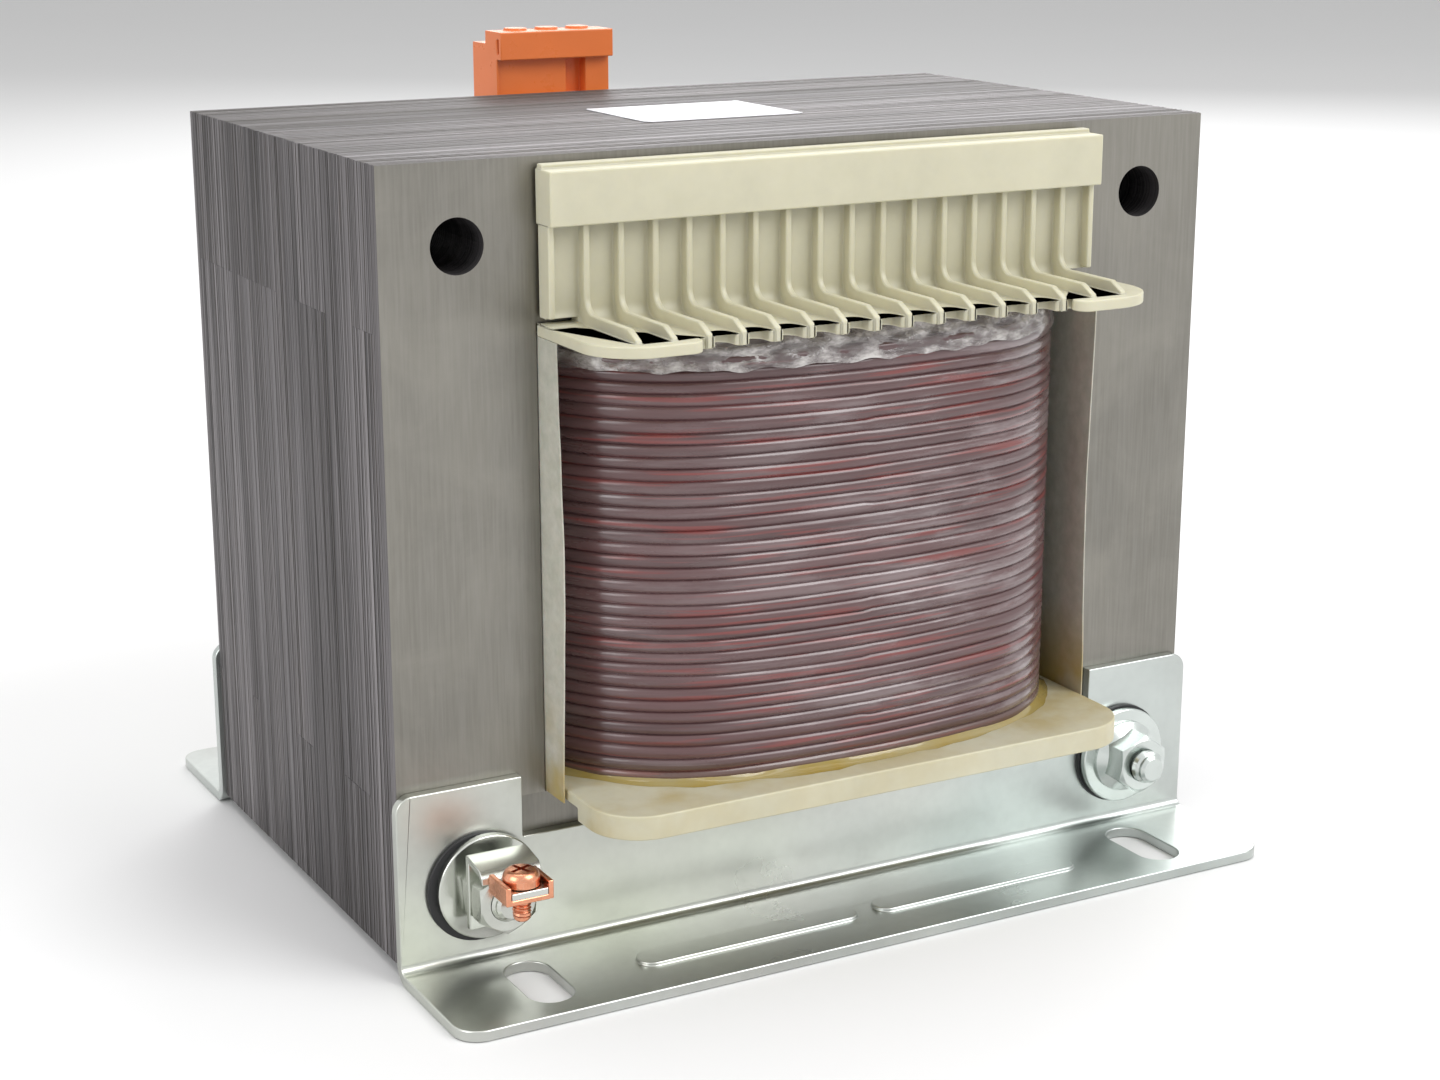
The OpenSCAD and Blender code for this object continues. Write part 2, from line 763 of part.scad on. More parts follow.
module terminal_housing() {
    screw_y = cage_y + cage_d / 2;
    color("darkorange") difference() {
        union() {
            mirror([0, 1, 0]) along_x(block_x, block_w) terminal_section();
            for (i = [0:pole_n - 1])
                translate([pole_x(i), block_y + raised_d / 2 + 0.5, block_top - 1])
                    cylinder(d = raised_d - 1.1, h = 1.6, $fn = 48);
        }
        for (i = [0:pole_n - 1]) {
            translate([pole_x(i) - cage_w / 2, cage_y, cage_z]) cube([cage_w, cage_d, cage_h]);
            translate([pole_x(i), screw_y, cage_z]) cylinder(d = 5.4, h = block_h, $fn = 48);
            translate([pole_x(i), block_back - 3, cage_z + cage_h / 2]) rotate([-90, 0, 0])
                cylinder(d = entry_d, h = 5, $fn = 48);
            translate([lead_x(i), screw_y, bar_z - 3])
                cylinder(d = lead_d + 0.4, h = cage_z - bar_z + 4, $fn = 48);
        }
        // Shallow recess under the lip, with a deeper pocket at one end
        translate([block_x - block_w / 2 + 0.6, block_y - 1, block_z + 1.5])
            cube([block_w - 7.4, 1.7, block_h - brow_h - 1.49]);
        translate([pole_x(pole_n - 1) - 0.55 * pole_pitch, block_y - 1, block_z + 1.5])
            cube([0.6 * pole_pitch, 4.5, block_h - brow_h - 1.49]);
        // Slits for marking strips at the two ends of the lip
        for (side = [-1, 1])
            translate([block_x + side * block_w / 2 - 2.5, block_y - 1.3, block_top - 5.6])
                cube([5, 1.1, 3.8]);
    }
}

module terminal_cages() {
    color("khaki") for (i = [0:pole_n - 1])
        translate([pole_x(i) - cage_w / 2 + seat, cage_y + seat, cage_z + seat]) difference() {
            cube([cage_w - 2 * seat, cage_d - 2 * seat, cage_h - 2 * seat]);
            translate([1.1, -1, 1.1])
                cube([cage_w - 2 * seat - 2.2, cage_d + 2, cage_h - 2 * seat - 3]);
            translate([cage_w / 2 - seat, cage_d / 2 - seat, cage_h - 4])
                cylinder(d = 3, h = 5, $fn = 32);
            translate([cage_w / 2 - seat, cage_d / 2 - seat, -1])
                cylinder(d = 2.2, h = 5, $fn = 32);
        }
}

module terminal_screws() {
    color("silver") for (i = [0:pole_n - 1])
        translate([pole_x(i), cage_y + cage_d / 2, cage_z + cage_h]) {
            difference() {
                cylinder(d = 5, h = 2, $fn = 48);
                translate([-3, -0.4, 1.1]) cube([6, 0.8, 2]);
            }
            translate([0, 0, -3.4]) cylinder(d = 2.9, h = 3.5, $fn = 32);
        }
}

// A lead leaves the coil under the flange, rises through a notch and turns twice to reach its
// pole from below. Seen from the side, with straight runs and quarter bends
module lead_wires() {
    r = lead_d / 2 + 1.2;
    turn_y = -face - scallop_reach + notch_d - notch_w / 2 + 0.2;
    start_z = high_flange_z - lead_d / 2 - 0.4;
    cage_mid = cage_y + cage_d / 2;
    back = -turn_y - cage_mid - 2 * r;
    shelf_z = bar_z - 8;
    color("firebrick") for (i = [0:pole_n - 1]) translate([lead_x(i), 0, 0]) {
        run([0, -turn_y - r, start_z], [90, 0, 0], 6);
        bend([0, -turn_y - r, start_z + r], 0, r);
        run([0, -turn_y, start_z + r], [0, 0, 0], shelf_z - r - start_z - r);
        bend([0, -turn_y - r, shelf_z - r], 1, r);
        run([0, -turn_y - r, shelf_z], [90, 0, 0], back);
        bend([0, cage_mid + r, shelf_z + r], 2, r);
        run([0, cage_mid, shelf_z + r], [0, 0, 0], cage_z - shelf_z - r);
    }
}

// A lead goes up through the notch nearest to its pole
function lead_x(i) = (round(pole_x(i) / rib_pitch + (rib_n % 2) / 2) - (rib_n % 2) / 2) * rib_pitch;

module run(from, turn, length) {
    translate(from) rotate(turn) cylinder(d = lead_d, h = length, $fn = 24);
}

// A quarter ring in the YZ plane: 0 from +Y up, 1 from +Z back, 2 from -Y up
module bend(centre, quarter, r) {
    start = [-90, 0, 180][quarter];
    translate(centre) rotate([90, 0, 90]) rotate(start)
        rotate_extrude(angle = 90, $fn = 48) translate([r, 0]) circle(d = lead_d, $fn = 24);
}

// ---- Label ------------------------------------------------------------------------------

module label() {
    color("white") translate([0, 0, core_z + core_h]) linear_extrude(label_t)
        square([label_w, label_d], center = true);
}

e_packet(1);  // e_packet_1
e_packet(2);  // e_packet_2
e_packet(3);  // e_packet_3
e_packet(4);  // e_packet_4
e_packet(5);  // e_packet_5
e_packet(6);  // e_packet_6
e_packet(7);  // e_packet_7
e_packet(8);  // e_packet_8
e_packet(9);  // e_packet_9
i_packet(1);  // i_packet_1
i_packet(2);  // i_packet_2
i_packet(3);  // i_packet_3
i_packet(4);  // i_packet_4
i_packet(5);  // i_packet_5
i_packet(6);  // i_packet_6
i_packet(7);  // i_packet_7
i_packet(8);  // i_packet_8
i_packet(9);  // i_packet_9
bobbin_tube();
front_flange();
rear_flange();
bottom_flange();
inner_winding();
layer_insulation();
outer_winding();
coil_film();
left_liner();
right_liner();
front_bracket();
rear_bracket();
clamping_bolts();
insulating_sleeves();
insulating_washers();
plain_washers();
flange_nut();
thin_nut();
full_nut();
earth_tab();
earth_saddle();
earth_screw();
terminal_housing();
terminal_cages();
terminal_screws();
lead_wires();
label();
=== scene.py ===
"""Dressed model of a laminated chassis transformer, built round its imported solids."""

import math

import bmesh
import bpy
from mathutils import Matrix, Vector, noise


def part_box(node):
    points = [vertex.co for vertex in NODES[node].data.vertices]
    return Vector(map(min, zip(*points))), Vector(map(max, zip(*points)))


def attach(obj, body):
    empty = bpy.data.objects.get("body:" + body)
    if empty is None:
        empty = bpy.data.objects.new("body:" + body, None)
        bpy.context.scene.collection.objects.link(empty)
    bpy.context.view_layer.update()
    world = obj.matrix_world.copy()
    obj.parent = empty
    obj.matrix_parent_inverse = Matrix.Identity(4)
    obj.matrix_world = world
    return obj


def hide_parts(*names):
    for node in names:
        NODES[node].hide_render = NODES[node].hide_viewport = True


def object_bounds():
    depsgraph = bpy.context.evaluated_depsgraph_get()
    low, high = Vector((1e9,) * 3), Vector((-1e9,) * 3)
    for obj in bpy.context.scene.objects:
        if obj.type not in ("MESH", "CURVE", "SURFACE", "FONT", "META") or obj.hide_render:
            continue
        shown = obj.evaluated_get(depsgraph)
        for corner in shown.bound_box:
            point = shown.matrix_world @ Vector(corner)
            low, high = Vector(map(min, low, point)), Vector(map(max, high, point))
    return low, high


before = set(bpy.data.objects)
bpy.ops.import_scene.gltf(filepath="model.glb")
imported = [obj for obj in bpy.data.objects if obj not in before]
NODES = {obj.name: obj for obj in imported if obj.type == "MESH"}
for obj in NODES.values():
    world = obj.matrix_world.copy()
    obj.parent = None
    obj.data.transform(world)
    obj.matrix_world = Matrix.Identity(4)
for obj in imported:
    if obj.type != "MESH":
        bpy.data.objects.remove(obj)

bl_info = {
    "name": "Chassis transformer",
    "version": (1, 0, 0),
    "blender": (4, 5, 0),
    "location": "View3D > Sidebar > Transformer",
    "description": "Dresses the solids of a laminated chassis transformer",
    "category": "Object",
}

CAD_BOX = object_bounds()
MM = 0.001
BODY = "root"

PACKETS = 9
FRONT_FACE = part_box("e_packet_1")[0].y
CORE_LOW = min(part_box("e_packet_1")[0].z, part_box("i_packet_1")[0].z)
CORE_TOP = max(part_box("e_packet_1")[1].z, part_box("i_packet_1")[1].z)
COIL_LOW, COIL_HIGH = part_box("outer_winding")
FILM_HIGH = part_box("coil_film")[1]
BOLT_X = (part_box("full_nut")[0].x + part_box("full_nut")[1].x) / 2
BOLT_Z = (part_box("full_nut")[0].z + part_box("full_nut")[1].z) / 2
BOLT_R, BOLT_PITCH = 4 * MM, 1.25 * MM
CLAMP_R, CLAMP_PITCH = 2 * MM, 0.7 * MM


# ---- Sizes and colours a user may change --------------------------------------------------

def length(name, words, value, low=0.0, high=1.0):
    return bpy.props.FloatProperty(
        name=name, description=words, default=value, min=low, max=high,
        subtype="DISTANCE", unit="LENGTH", precision=5)


def colour(name, words, value):
    return bpy.props.FloatVectorProperty(
        name=name, description=words, default=value, size=3, min=0, max=1, subtype="COLOR")


class CoreLook(bpy.types.PropertyGroup):
    pitch: length("Sheet pitch", "Distance between two sheets of the stack", 0.5 * MM)
    ragged: length("Raggedness", "How far a sheet's edge stands out at most", 0.16 * MM)
    face: colour("Sheet face", "Colour of the rolled face of a sheet", (0.215, 0.205, 0.18))
    edge: colour("Sheet edge", "Colour of the cut edges of the stack", (0.17, 0.16, 0.165))


class BobbinLook(bpy.types.PropertyGroup):
    edge: length("Edge radius", "Rounding of the moulded edges", 0.3 * MM)
    nylon: colour("Nylon", "Colour of the thick mouldings", (0.60, 0.575, 0.435))
    thin: colour("Thin nylon", "Colour of the thin strip in front of the core",
                 (0.37, 0.365, 0.27))
    amber: colour("Varnish", "Colour of the impregnating varnish", (0.42, 0.30, 0.06))


class CoilLook(bpy.types.PropertyGroup):
    turns: bpy.props.IntProperty(
        name="Turns", description="Visible turns of the outer layer", default=35, min=5, max=60)
    groove: length("Groove", "Depth between two turns", 0.7 * MM)
    stray: length("Stray", "How far a turn wanders up and down", 0.4 * MM)
    corner: length("Corner", "Radius of the coil's corners", 42 * MM)
    bulge: length("Bulge", "Radius of the coil's bulging ends", 200 * MM)
    enamel: colour("Enamel", "Colour of the wire", (0.075, 0.035, 0.036))
    # Pale colour of the clinging patches, partly the film itself and partly painted reflection
    glare: colour("Clinging film", "Colour where the film clings to the wire",
                  (0.23, 0.175, 0.18))


class FittingsLook(bpy.types.PropertyGroup):
    edge: length("Edge radius", "Rounding of the sheet metal's edges", 0.25 * MM)
    zinc: colour("Zinc", "Colour of the zinc plating", (0.56, 0.57, 0.545))
    copper: colour("Copper", "Colour of the copper clamp", (0.84, 0.36, 0.21))
    fibre: colour("Fibre", "Colour of the insulating washers", (0.012, 0.012, 0.014))


class BlockLook(bpy.types.PropertyGroup):
    edge: length("Edge radius", "Rounding of the moulded edges", 0.25 * MM)
    plastic: colour("Plastic", "Colour of the block", (0.80, 0.19, 0.04))
    sleeve: colour("Lead sleeve", "Colour of the lead wires' sleeves", (0.30, 0.02, 0.015))


class StageLook(bpy.types.PropertyGroup):
    azimuth: bpy.props.FloatProperty(
        name="Azimuth", description="Turn of the camera round the object from its front",
        default=math.radians(-28.797), subtype="ANGLE", unit="ROTATION")
    elevation: bpy.props.FloatProperty(
        name="Elevation", description="Height of the camera as an angle",
        default=math.radians(15.437), subtype="ANGLE", unit="ROTATION")
    distance: length("Distance", "From the camera to the middle of the core's underside",
                     659.05 * MM, high=10)
    aside: length("Aside", "Aim of the camera to its right", 6.265 * MM)
    above: length("Above", "Aim of the camera upwards", 66.325 * MM)
    lens: bpy.props.FloatProperty(
        name="Lens", description="Focal length in millimetres", default=64.01, min=1, max=500)
    floor: colour("Floor", "Colour of the floor", (0.86, 0.86, 0.86))


# ---- Meshes -------------------------------------------------------------------------------

def new_object(name, mesh):
    obj = bpy.data.objects.new(name, mesh)
    bpy.context.scene.collection.objects.link(obj)
    return obj


def mesh_from(name, verts, faces):
    mesh = bpy.data.meshes.new(name)
    mesh.from_pydata([tuple(v) for v in verts], [], faces)
    mesh.validate()
    bm = bmesh.new()
    bm.from_mesh(mesh)
    bmesh.ops.remove_doubles(bm, verts=bm.verts, dist=1e-7)
    bmesh.ops.recalc_face_normals(bm, faces=bm.faces)
    bm.to_mesh(mesh)
    bm.free()
    return mesh


def smooth(mesh, angle=35):
    mesh.shade_smooth()
    mesh.set_sharp_from_angle(angle=math.radians(angle))
    return mesh


def plain_mesh(obj):
    """The object's evaluated shape takes the place of its mesh and modifiers."""
    graph = bpy.context.evaluated_depsgraph_get()
    mesh = bpy.data.meshes.new_from_object(obj.evaluated_get(graph))
    obj.modifiers.clear()
    obj.data = mesh
    return obj


def finish_piece(obj, material, slot, *nodes):
    obj.data.materials.clear()
    obj.data.materials.append(material)
    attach(obj, BODY)
    if nodes:
        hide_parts(*nodes)
    return obj


def repaint(node, paint):
    """A CAD node that stays in the scene gets a material of its own."""
    mesh = NODES[node].data
    mesh.materials.clear()
    mesh.materials.append(PAINTS[paint])


def merged_copy(node):
    """A CAD node's mesh with its loose triangles joined into whole faces."""
    bm = bmesh.new()
    bm.from_mesh(NODES[node].data)
    bmesh.ops.remove_doubles(bm, verts=bm.verts, dist=2e-6)
    bmesh.ops.dissolve_limit(
        bm, angle_limit=math.radians(0.6), use_dissolve_boundaries=False,
        verts=bm.verts, edges=bm.edges)
    mesh = bpy.data.meshes.new(node + "_merged")
    bm.to_mesh(mesh)
    bm.free()
    return mesh


def rounded_copy(node, name, width, segments=2, angle=38):
    """A copy of a CAD node whose sharp edges are rounded."""
    obj = new_object(name, merged_copy(node))
    smooth(obj.data, angle)
    if width > 0:
        bevel = obj.modifiers.new("round", "BEVEL")
        bevel.width = width
        bevel.segments = segments
        bevel.limit_method = "ANGLE"
        bevel.angle_limit = math.radians(angle)
        bevel.use_clamp_overlap = False
        bevel.miter_outer = "MITER_ARC"
        even = obj.modifiers.new("even", "WEIGHTED_NORMAL")
        even.keep_sharp = True
    return plain_mesh(obj)


def dress(node, name, width, paint, slot):
    """A rounded copy takes the place of its CAD node."""
    return finish_piece(rounded_copy(node, name, width), PAINTS[paint], slot, node)


def join(name, *objects):
    bm = bmesh.new()
    for obj in objects:
        bm.from_mesh(obj.data)
        bpy.data.objects.remove(obj)
    mesh = bpy.data.meshes.new(name)
    bm.to_mesh(mesh)
    bm.free()
    return new_object(name, mesh)


def moved(obj, matrix):
    obj.data.transform(matrix)
    return obj


def along_bolt(side, y, turn=0.0):
    """From a fitting's own axis, +Z, to the bolt's axis, -Y, at a side and depth."""
    return (Matrix.Translation((side * abs(BOLT_X), y, BOLT_Z))
            @ Matrix.Rotation(math.radians(90), 4, "X")
            @ Matrix.Rotation(math.radians(turn), 4, "Z"))


def lathe(name, profile, steps=64):
    """A closed solid of revolution from (radius, height) pairs, low to high."""
    verts, faces = [], []
    for r, z in profile:
        for k in range(steps):
            a = 2 * math.pi * k / steps
            verts.append((r * math.cos(a), r * math.sin(a), z))
    rows = len(profile)
    for i in range(rows - 1):
        for k in range(steps):
            n = (k + 1) % steps
            faces.append((i * steps + k, i * steps + n, (i + 1) * steps + n, (i + 1) * steps + k))
    if profile[0] == profile[-1]:
        return new_object(name, smooth(mesh_from(name, verts, faces)))
    for row in (0, rows - 1):
        if profile[row][0] > 0:
            faces.append([row * steps + k for k in range(steps)])
    return new_object(name, smooth(mesh_from(name, verts, faces)))


def hexagon_nut(name, flats, height, bore, low_chamfer=True, steps=72):
    """A nut with its corners turned off; bore 0 makes a bolt's head."""
    half = flats / 2
    flat_r = half * 0.97
    slope = math.tan(math.radians(30))

    def corner(k):
        a = 2 * math.pi * k / steps
        return half / math.cos((a + math.pi / 6) % (math.pi / 3) - math.pi / 6)

    rows = []
    if bore:
        rows.append([(bore * 1.06, 0)] * steps)
    rows.append([(flat_r, 0)] * steps if low_chamfer else [(corner(k), 0) for k in range(steps)])
    if low_chamfer:
        rows.append([(corner(k), (corner(k) - flat_r) * slope) for k in range(steps)])
    rows.append([(corner(k), height - (corner(k) - flat_r) * slope) for k in range(steps)])
    rows.append([(flat_r, height)] * steps)
    if bore:
        rows.append([(bore * 1.06, height)] * steps)
        rows.append([(bore, height - bore * 0.06)] * steps)
        rows.append([(bore, bore * 0.06)] * steps)
    verts, faces = [], []
    for row in rows:
        for k, (r, z) in enumerate(row):
            a = 2 * math.pi * k / steps
            verts.append((r * math.cos(a), r * math.sin(a), z))
    count = len(rows)
    for i in range(count if bore else count - 1):
        j = (i + 1) % count
        for k in range(steps):
            n = (k + 1) % steps
            faces.append((i * steps + k, i * steps + n, j * steps + n, j * steps + k))
    if not bore:
        faces.append(list(range(steps)))
        faces.append([(count - 1) * steps + k for k in range(steps)])
    return new_object(name, smooth(mesh_from(name, verts, faces), 20))


# ---- Geometry trees -----------------------------------------------------------------------

class Tree:
    """Short words for building a node tree."""

    def __init__(self, tree):
        self.tree = tree

    def add(self, kind, inputs=None, **settings):
        node = self.tree.nodes.new(kind)
        for key, value in settings.items():
            setattr(node, key, value)
        for key, value in (inputs or {}).items():
            self.put(node.inputs[key], value)
        return node

    def put(self, socket, value):
        if isinstance(value, bpy.types.NodeSocket):
            self.tree.links.new(value, socket)
        elif isinstance(value, bpy.types.Node):
            self.tree.links.new(value.outputs[0], socket)
        else:
            socket.default_value = value


def geometry_tree(name, inputs):
    tree = bpy.data.node_groups.new(name, "GeometryNodeTree")
    for label, kind in inputs:
        tree.interface.new_socket(label, in_out="INPUT", socket_type="NodeSocket" + kind)
    tree.interface.new_socket("Geometry", in_out="OUTPUT", socket_type="NodeSocketGeometry")
    t = Tree(tree)
    return t, t.add("NodeGroupInput"), t.add("NodeGroupOutput")


def end_tree(t, given, out, geometry):
    real = t.add("GeometryNodeRealizeInstances", {0: geometry})
    paint = t.add("GeometryNodeSetMaterial", {"Geometry": real, "Material": given.outputs["Material"]})
    t.put(out.inputs["Geometry"], paint)
    return t.tree


def from_tree(name, tree, **values):
    """The plain mesh object that a geometry tree makes with these values."""
    obj = new_object(name, bpy.data.meshes.new(name))
    nodes = obj.modifiers.new("shape", "NODES")
    nodes.node_group = tree
    for item in tree.interface.items_tree:
        if item.in_out == "INPUT":
            nodes[item.identifier] = values[item.name.lower().replace(" ", "_")]
    return plain_mesh(obj)


def sheet_edges_tree():
    """A row of bars, one for each sheet, each pushed out by its own small amount."""
    t, given, out = geometry_tree("sheet_edges", [
        ("Count", "Int"), ("Pitch", "Vector"), ("Start", "Vector"), ("Size", "Vector"),
        ("Push", "Vector"), ("Seed", "Int"), ("Material", "Material")])
    o = given.outputs
    line = t.add("GeometryNodeMeshLine", {
        "Count": o["Count"], "Start Location": o["Start"], "Offset": o["Pitch"]})
    bar = t.add("GeometryNodeMeshCube", {"Size": o["Size"]})
    row = t.add("GeometryNodeInstanceOnPoints", {"Points": line, "Instance": bar})
    chance = t.add("FunctionNodeRandomValue", data_type="FLOAT_VECTOR")
    t.put(chance.inputs[1], o["Push"])
    t.put(chance.inputs["Seed"], o["Seed"])
    push = t.add("GeometryNodeTranslateInstances", {
        "Instances": row, "Translation": chance.outputs[0]}, )
    push.inputs["Local Space"].default_value = False
    return end_tree(t, given, out, push)


def thread_tree():
    """A screw thread: a three-cornered wire wound round a core."""
    t, given, out = geometry_tree("thread", [
        ("Radius", "Float"), ("Pitch", "Float"), ("Turns", "Float"), ("Wire", "Float"),
        ("Material", "Material")])
    o = given.outputs
    height = t.add("ShaderNodeMath", {0: o["Pitch"], 1: o["Turns"]}, operation="MULTIPLY")
    spiral = t.add("GeometryNodeCurveSpiral", {
        "Resolution": 28, "Rotations": o["Turns"], "Start Radius": o["Radius"],
        "End Radius": o["Radius"], "Height": height})
    wire = t.add("GeometryNodeCurvePrimitiveCircle", {"Resolution": 3, "Radius": o["Wire"]})
    mesh = t.add("GeometryNodeCurveToMesh", {"Curve": spiral, "Profile Curve": wire})
    mesh.inputs["Fill Caps"].default_value = True
    return end_tree(t, given, out, mesh)


# ---- Materials ----------------------------------------------------------------------------

def shaded(shade, factor):
    """A colour made lighter or darker by a factor, with no channel past full."""
    return tuple(min(1, c * factor) for c in shade)


class Paint(Tree):
    """A material with one Principled shader and words for the usual patterns."""

    def __init__(self, name, **sockets):
        self.material = bpy.data.materials.new(name)
        self.material.use_nodes = True
        super().__init__(self.material.node_tree)
        self.shader = self.tree.nodes["Principled BSDF"]
        for key, value in sockets.items():
            self.shader.inputs[key.replace("_", " ").title().replace("Ior", "IOR")].default_value = value
        self.place = self.add("ShaderNodeTexCoord").outputs["Object"]

    def stretched(self, x, y, z, shift=0.0):
        """Object coordinates with a number of features per metre along each axis."""
        return self.add("ShaderNodeMapping", {
            "Vector": self.place, "Scale": (x, y, z), "Location": (shift, shift * 0.7, shift * 1.3)})

    def clouds(self, vector, detail=4.0, rough=0.55, scale=1.0):
        return self.add("ShaderNodeTexNoise", {
            "Vector": vector, "Scale": scale, "Detail": detail, "Roughness": rough}).outputs[0]

    def ramp(self, value, *stops):
        node = self.add("ShaderNodeValToRGB", {"Fac": value})
        while len(node.color_ramp.elements) < len(stops):
            node.color_ramp.elements.new(0.5)
        for element, (at, shade) in zip(node.color_ramp.elements, stops):
            element.position = at
            element.color = (shade,) * 3 + (1,) if isinstance(shade, (int, float)) else (*shade, 1)
        return node.outputs[0]

    def span(self, value, low, high, to_low=0.0, to_high=1.0):
        return self.add("ShaderNodeMapRange", {
            "Value": value, "From Min": low, "From Max": high, "To Min": to_low, "To Max": to_high
        }).outputs[0]

    def sum(self, operation, a, b=0.0, clamp=False):
        return self.add("ShaderNodeMath", {0: a, 1: b}, operation=operation, use_clamp=clamp)

    def mix(self, fac, a, b, blend="MIX"):
        node = self.add("ShaderNodeMix", data_type="RGBA", blend_type=blend)
        for key, value in ((0, fac), (6, a), (7, b)):
            if not isinstance(value, (int, float, bpy.types.NodeSocket, bpy.types.Node)):
                value = (*value[:3], 1)
            self.put(node.inputs[key], value)
        return node.outputs[2]

    def axis(self, name, vector=None):
        return self.add("ShaderNodeSeparateXYZ", {0: vector or self.place}).outputs[name]

    def group(self, tree, **values):
        node = self.add("ShaderNodeGroup", node_tree=tree)
        for key, value in values.items():
            self.put(node.inputs[key.replace("_", " ").capitalize()], value)
        return node

    def bump(self, height, strength=0.3, distance=0.0001):
        node = self.add("ShaderNodeBump", {
            "Height": height, "Strength": strength, "Distance": distance})
        self.put(self.shader.inputs["Normal"], node)

    def end(self, **links):
        for key, value in links.items():
            self.put(self.shader.inputs[key.replace("_", " ").title()], value)
        return self.material


def shader_group(name, inputs, outputs):
    tree = bpy.data.node_groups.new(name, "ShaderNodeTree")
    for label, kind, value in inputs:
        socket = tree.interface.new_socket(label, in_out="INPUT", socket_type="NodeSocket" + kind)
        if value is not None:
            socket.default_value = value
    for label, kind in outputs:
        tree.interface.new_socket(label, in_out="OUTPUT", socket_type="NodeSocket" + kind)
    t = Tree(tree)
    return t, t.add("NodeGroupInput"), t.add("NodeGroupOutput")


def handling_group():
    """Faint smudges and fine scratches from handling, as a value and a height."""
    t, given, out = shader_group(
        "handling", [("Vector", "Vector", None), ("Smudges", "Float", 0.5),
                     ("Scratches", "Float", 0.3)],
        [("Marks", "Float"), ("Height", "Float")])
    o = given.outputs
    cloud = t.add("ShaderNodeTexNoise", {
        "Vector": o["Vector"], "Scale": 45.0, "Detail": 5.0, "Roughness": 0.6, "Distortion": 0.6})
    soft = t.add("ShaderNodeMapRange", {
        "Value": cloud.outputs[0], "From Min": 0.42, "From Max": 0.7})
    smudge = t.add("ShaderNodeMath", {0: soft, 1: o["Smudges"]}, operation="MULTIPLY")
    turned = t.add("ShaderNodeMapping", {
        "Vector": o["Vector"], "Rotation": (0.5, 0.3, 0.7), "Scale": (60, 2200, 60)})
    line = t.add("ShaderNodeTexNoise", {"Vector": turned, "Scale": 1.0, "Detail": 2.0})
    thin = t.add("ShaderNodeMapRange", {
        "Value": line.outputs[0], "From Min": 0.70, "From Max": 0.78})
    scratch = t.add("ShaderNodeMath", {0: thin, 1: o["Scratches"]}, operation="MULTIPLY")
    both = t.add("ShaderNodeMath", {0: smudge, 1: scratch}, operation="ADD", use_clamp=True)
    t.put(out.inputs["Marks"], both)
    t.put(out.inputs["Height"], scratch)
    return t.tree


def sheet_stack(name, look, seed, tone):
    """Rolled sheet on the faces of the stack, and its cut edges on the other sides."""
    p = Paint(name, metallic=1.0)
    across = p.add("ShaderNodeTexCoord").outputs["Normal"]
    is_face = p.span(p.sum("ABSOLUTE", p.axis("Y", across)), 0.7, 0.9)

    # One tone for each sheet, streaks that run along the sheets, and groups of darker sheets
    y = p.axis("Y")
    sheet = p.sum("FLOOR", p.sum("DIVIDE", y, look.pitch))
    each = p.add("ShaderNodeTexWhiteNoise", {"W": sheet}, noise_dimensions="1D").outputs["Value"]
    streaks = p.clouds(p.stretched(22, 1150, 22, seed), 4, 0.62)
    groups = p.clouds(p.stretched(6, 210, 6, seed + 3.1), 2, 0.5)
    tones = p.sum("ADD", p.sum("MULTIPLY", each, 0.32), p.sum("MULTIPLY", streaks, 0.75))
    tones = p.sum("ADD", tones, p.sum("MULTIPLY", groups, 0.55))
    edge = p.mix(p.span(tones, 0.55, 1.12), tuple(c * 0.40 * tone for c in look.edge),
                 tuple(c * 1.75 * tone for c in look.edge))
    rust = p.span(p.clouds(p.stretched(30, 500, 30, seed + 9), 3), 0.66, 0.80, 0, 0.35)
    edge = p.mix(rust, edge, (0.17, 0.12, 0.09))

    # Rolled face: soft cloudy tone, a fine grain up and down, a few rubbed places
    cloud = p.clouds(p.stretched(14, 14, 9, seed), 3, 0.5)
    grain = p.clouds(p.stretched(1500, 90, 60, seed), 3, 0.6)
    face = p.mix(p.span(cloud, 0.35, 0.65), shaded(look.face, 0.86),
                 shaded(look.face, 1.22))
    face = p.mix(0.10, face, p.ramp(grain, (0.3, 0.12), (0.7, 0.5)))
    marks = p.group(GROUPS["handling"], vector=p.place, smudges=0.35, scratches=0.25)
    face = p.mix(marks.outputs["Marks"], face, shaded(look.face, 1.5))

    height = p.mix(is_face, p.ramp(tones, (0.4, 0.0), (0.9, 1.0)), p.ramp(grain, (0, 0.45), (1, 0.55)))
    p.bump(height, 0.55, 0.00012)
    rough = p.sum("ADD", p.span(is_face, 0, 1, 0.52, 0.40), p.span(cloud, 0.3, 0.7, -0.04, 0.05))
    return p.end(base_color=p.mix(is_face, edge, face), roughness=rough)


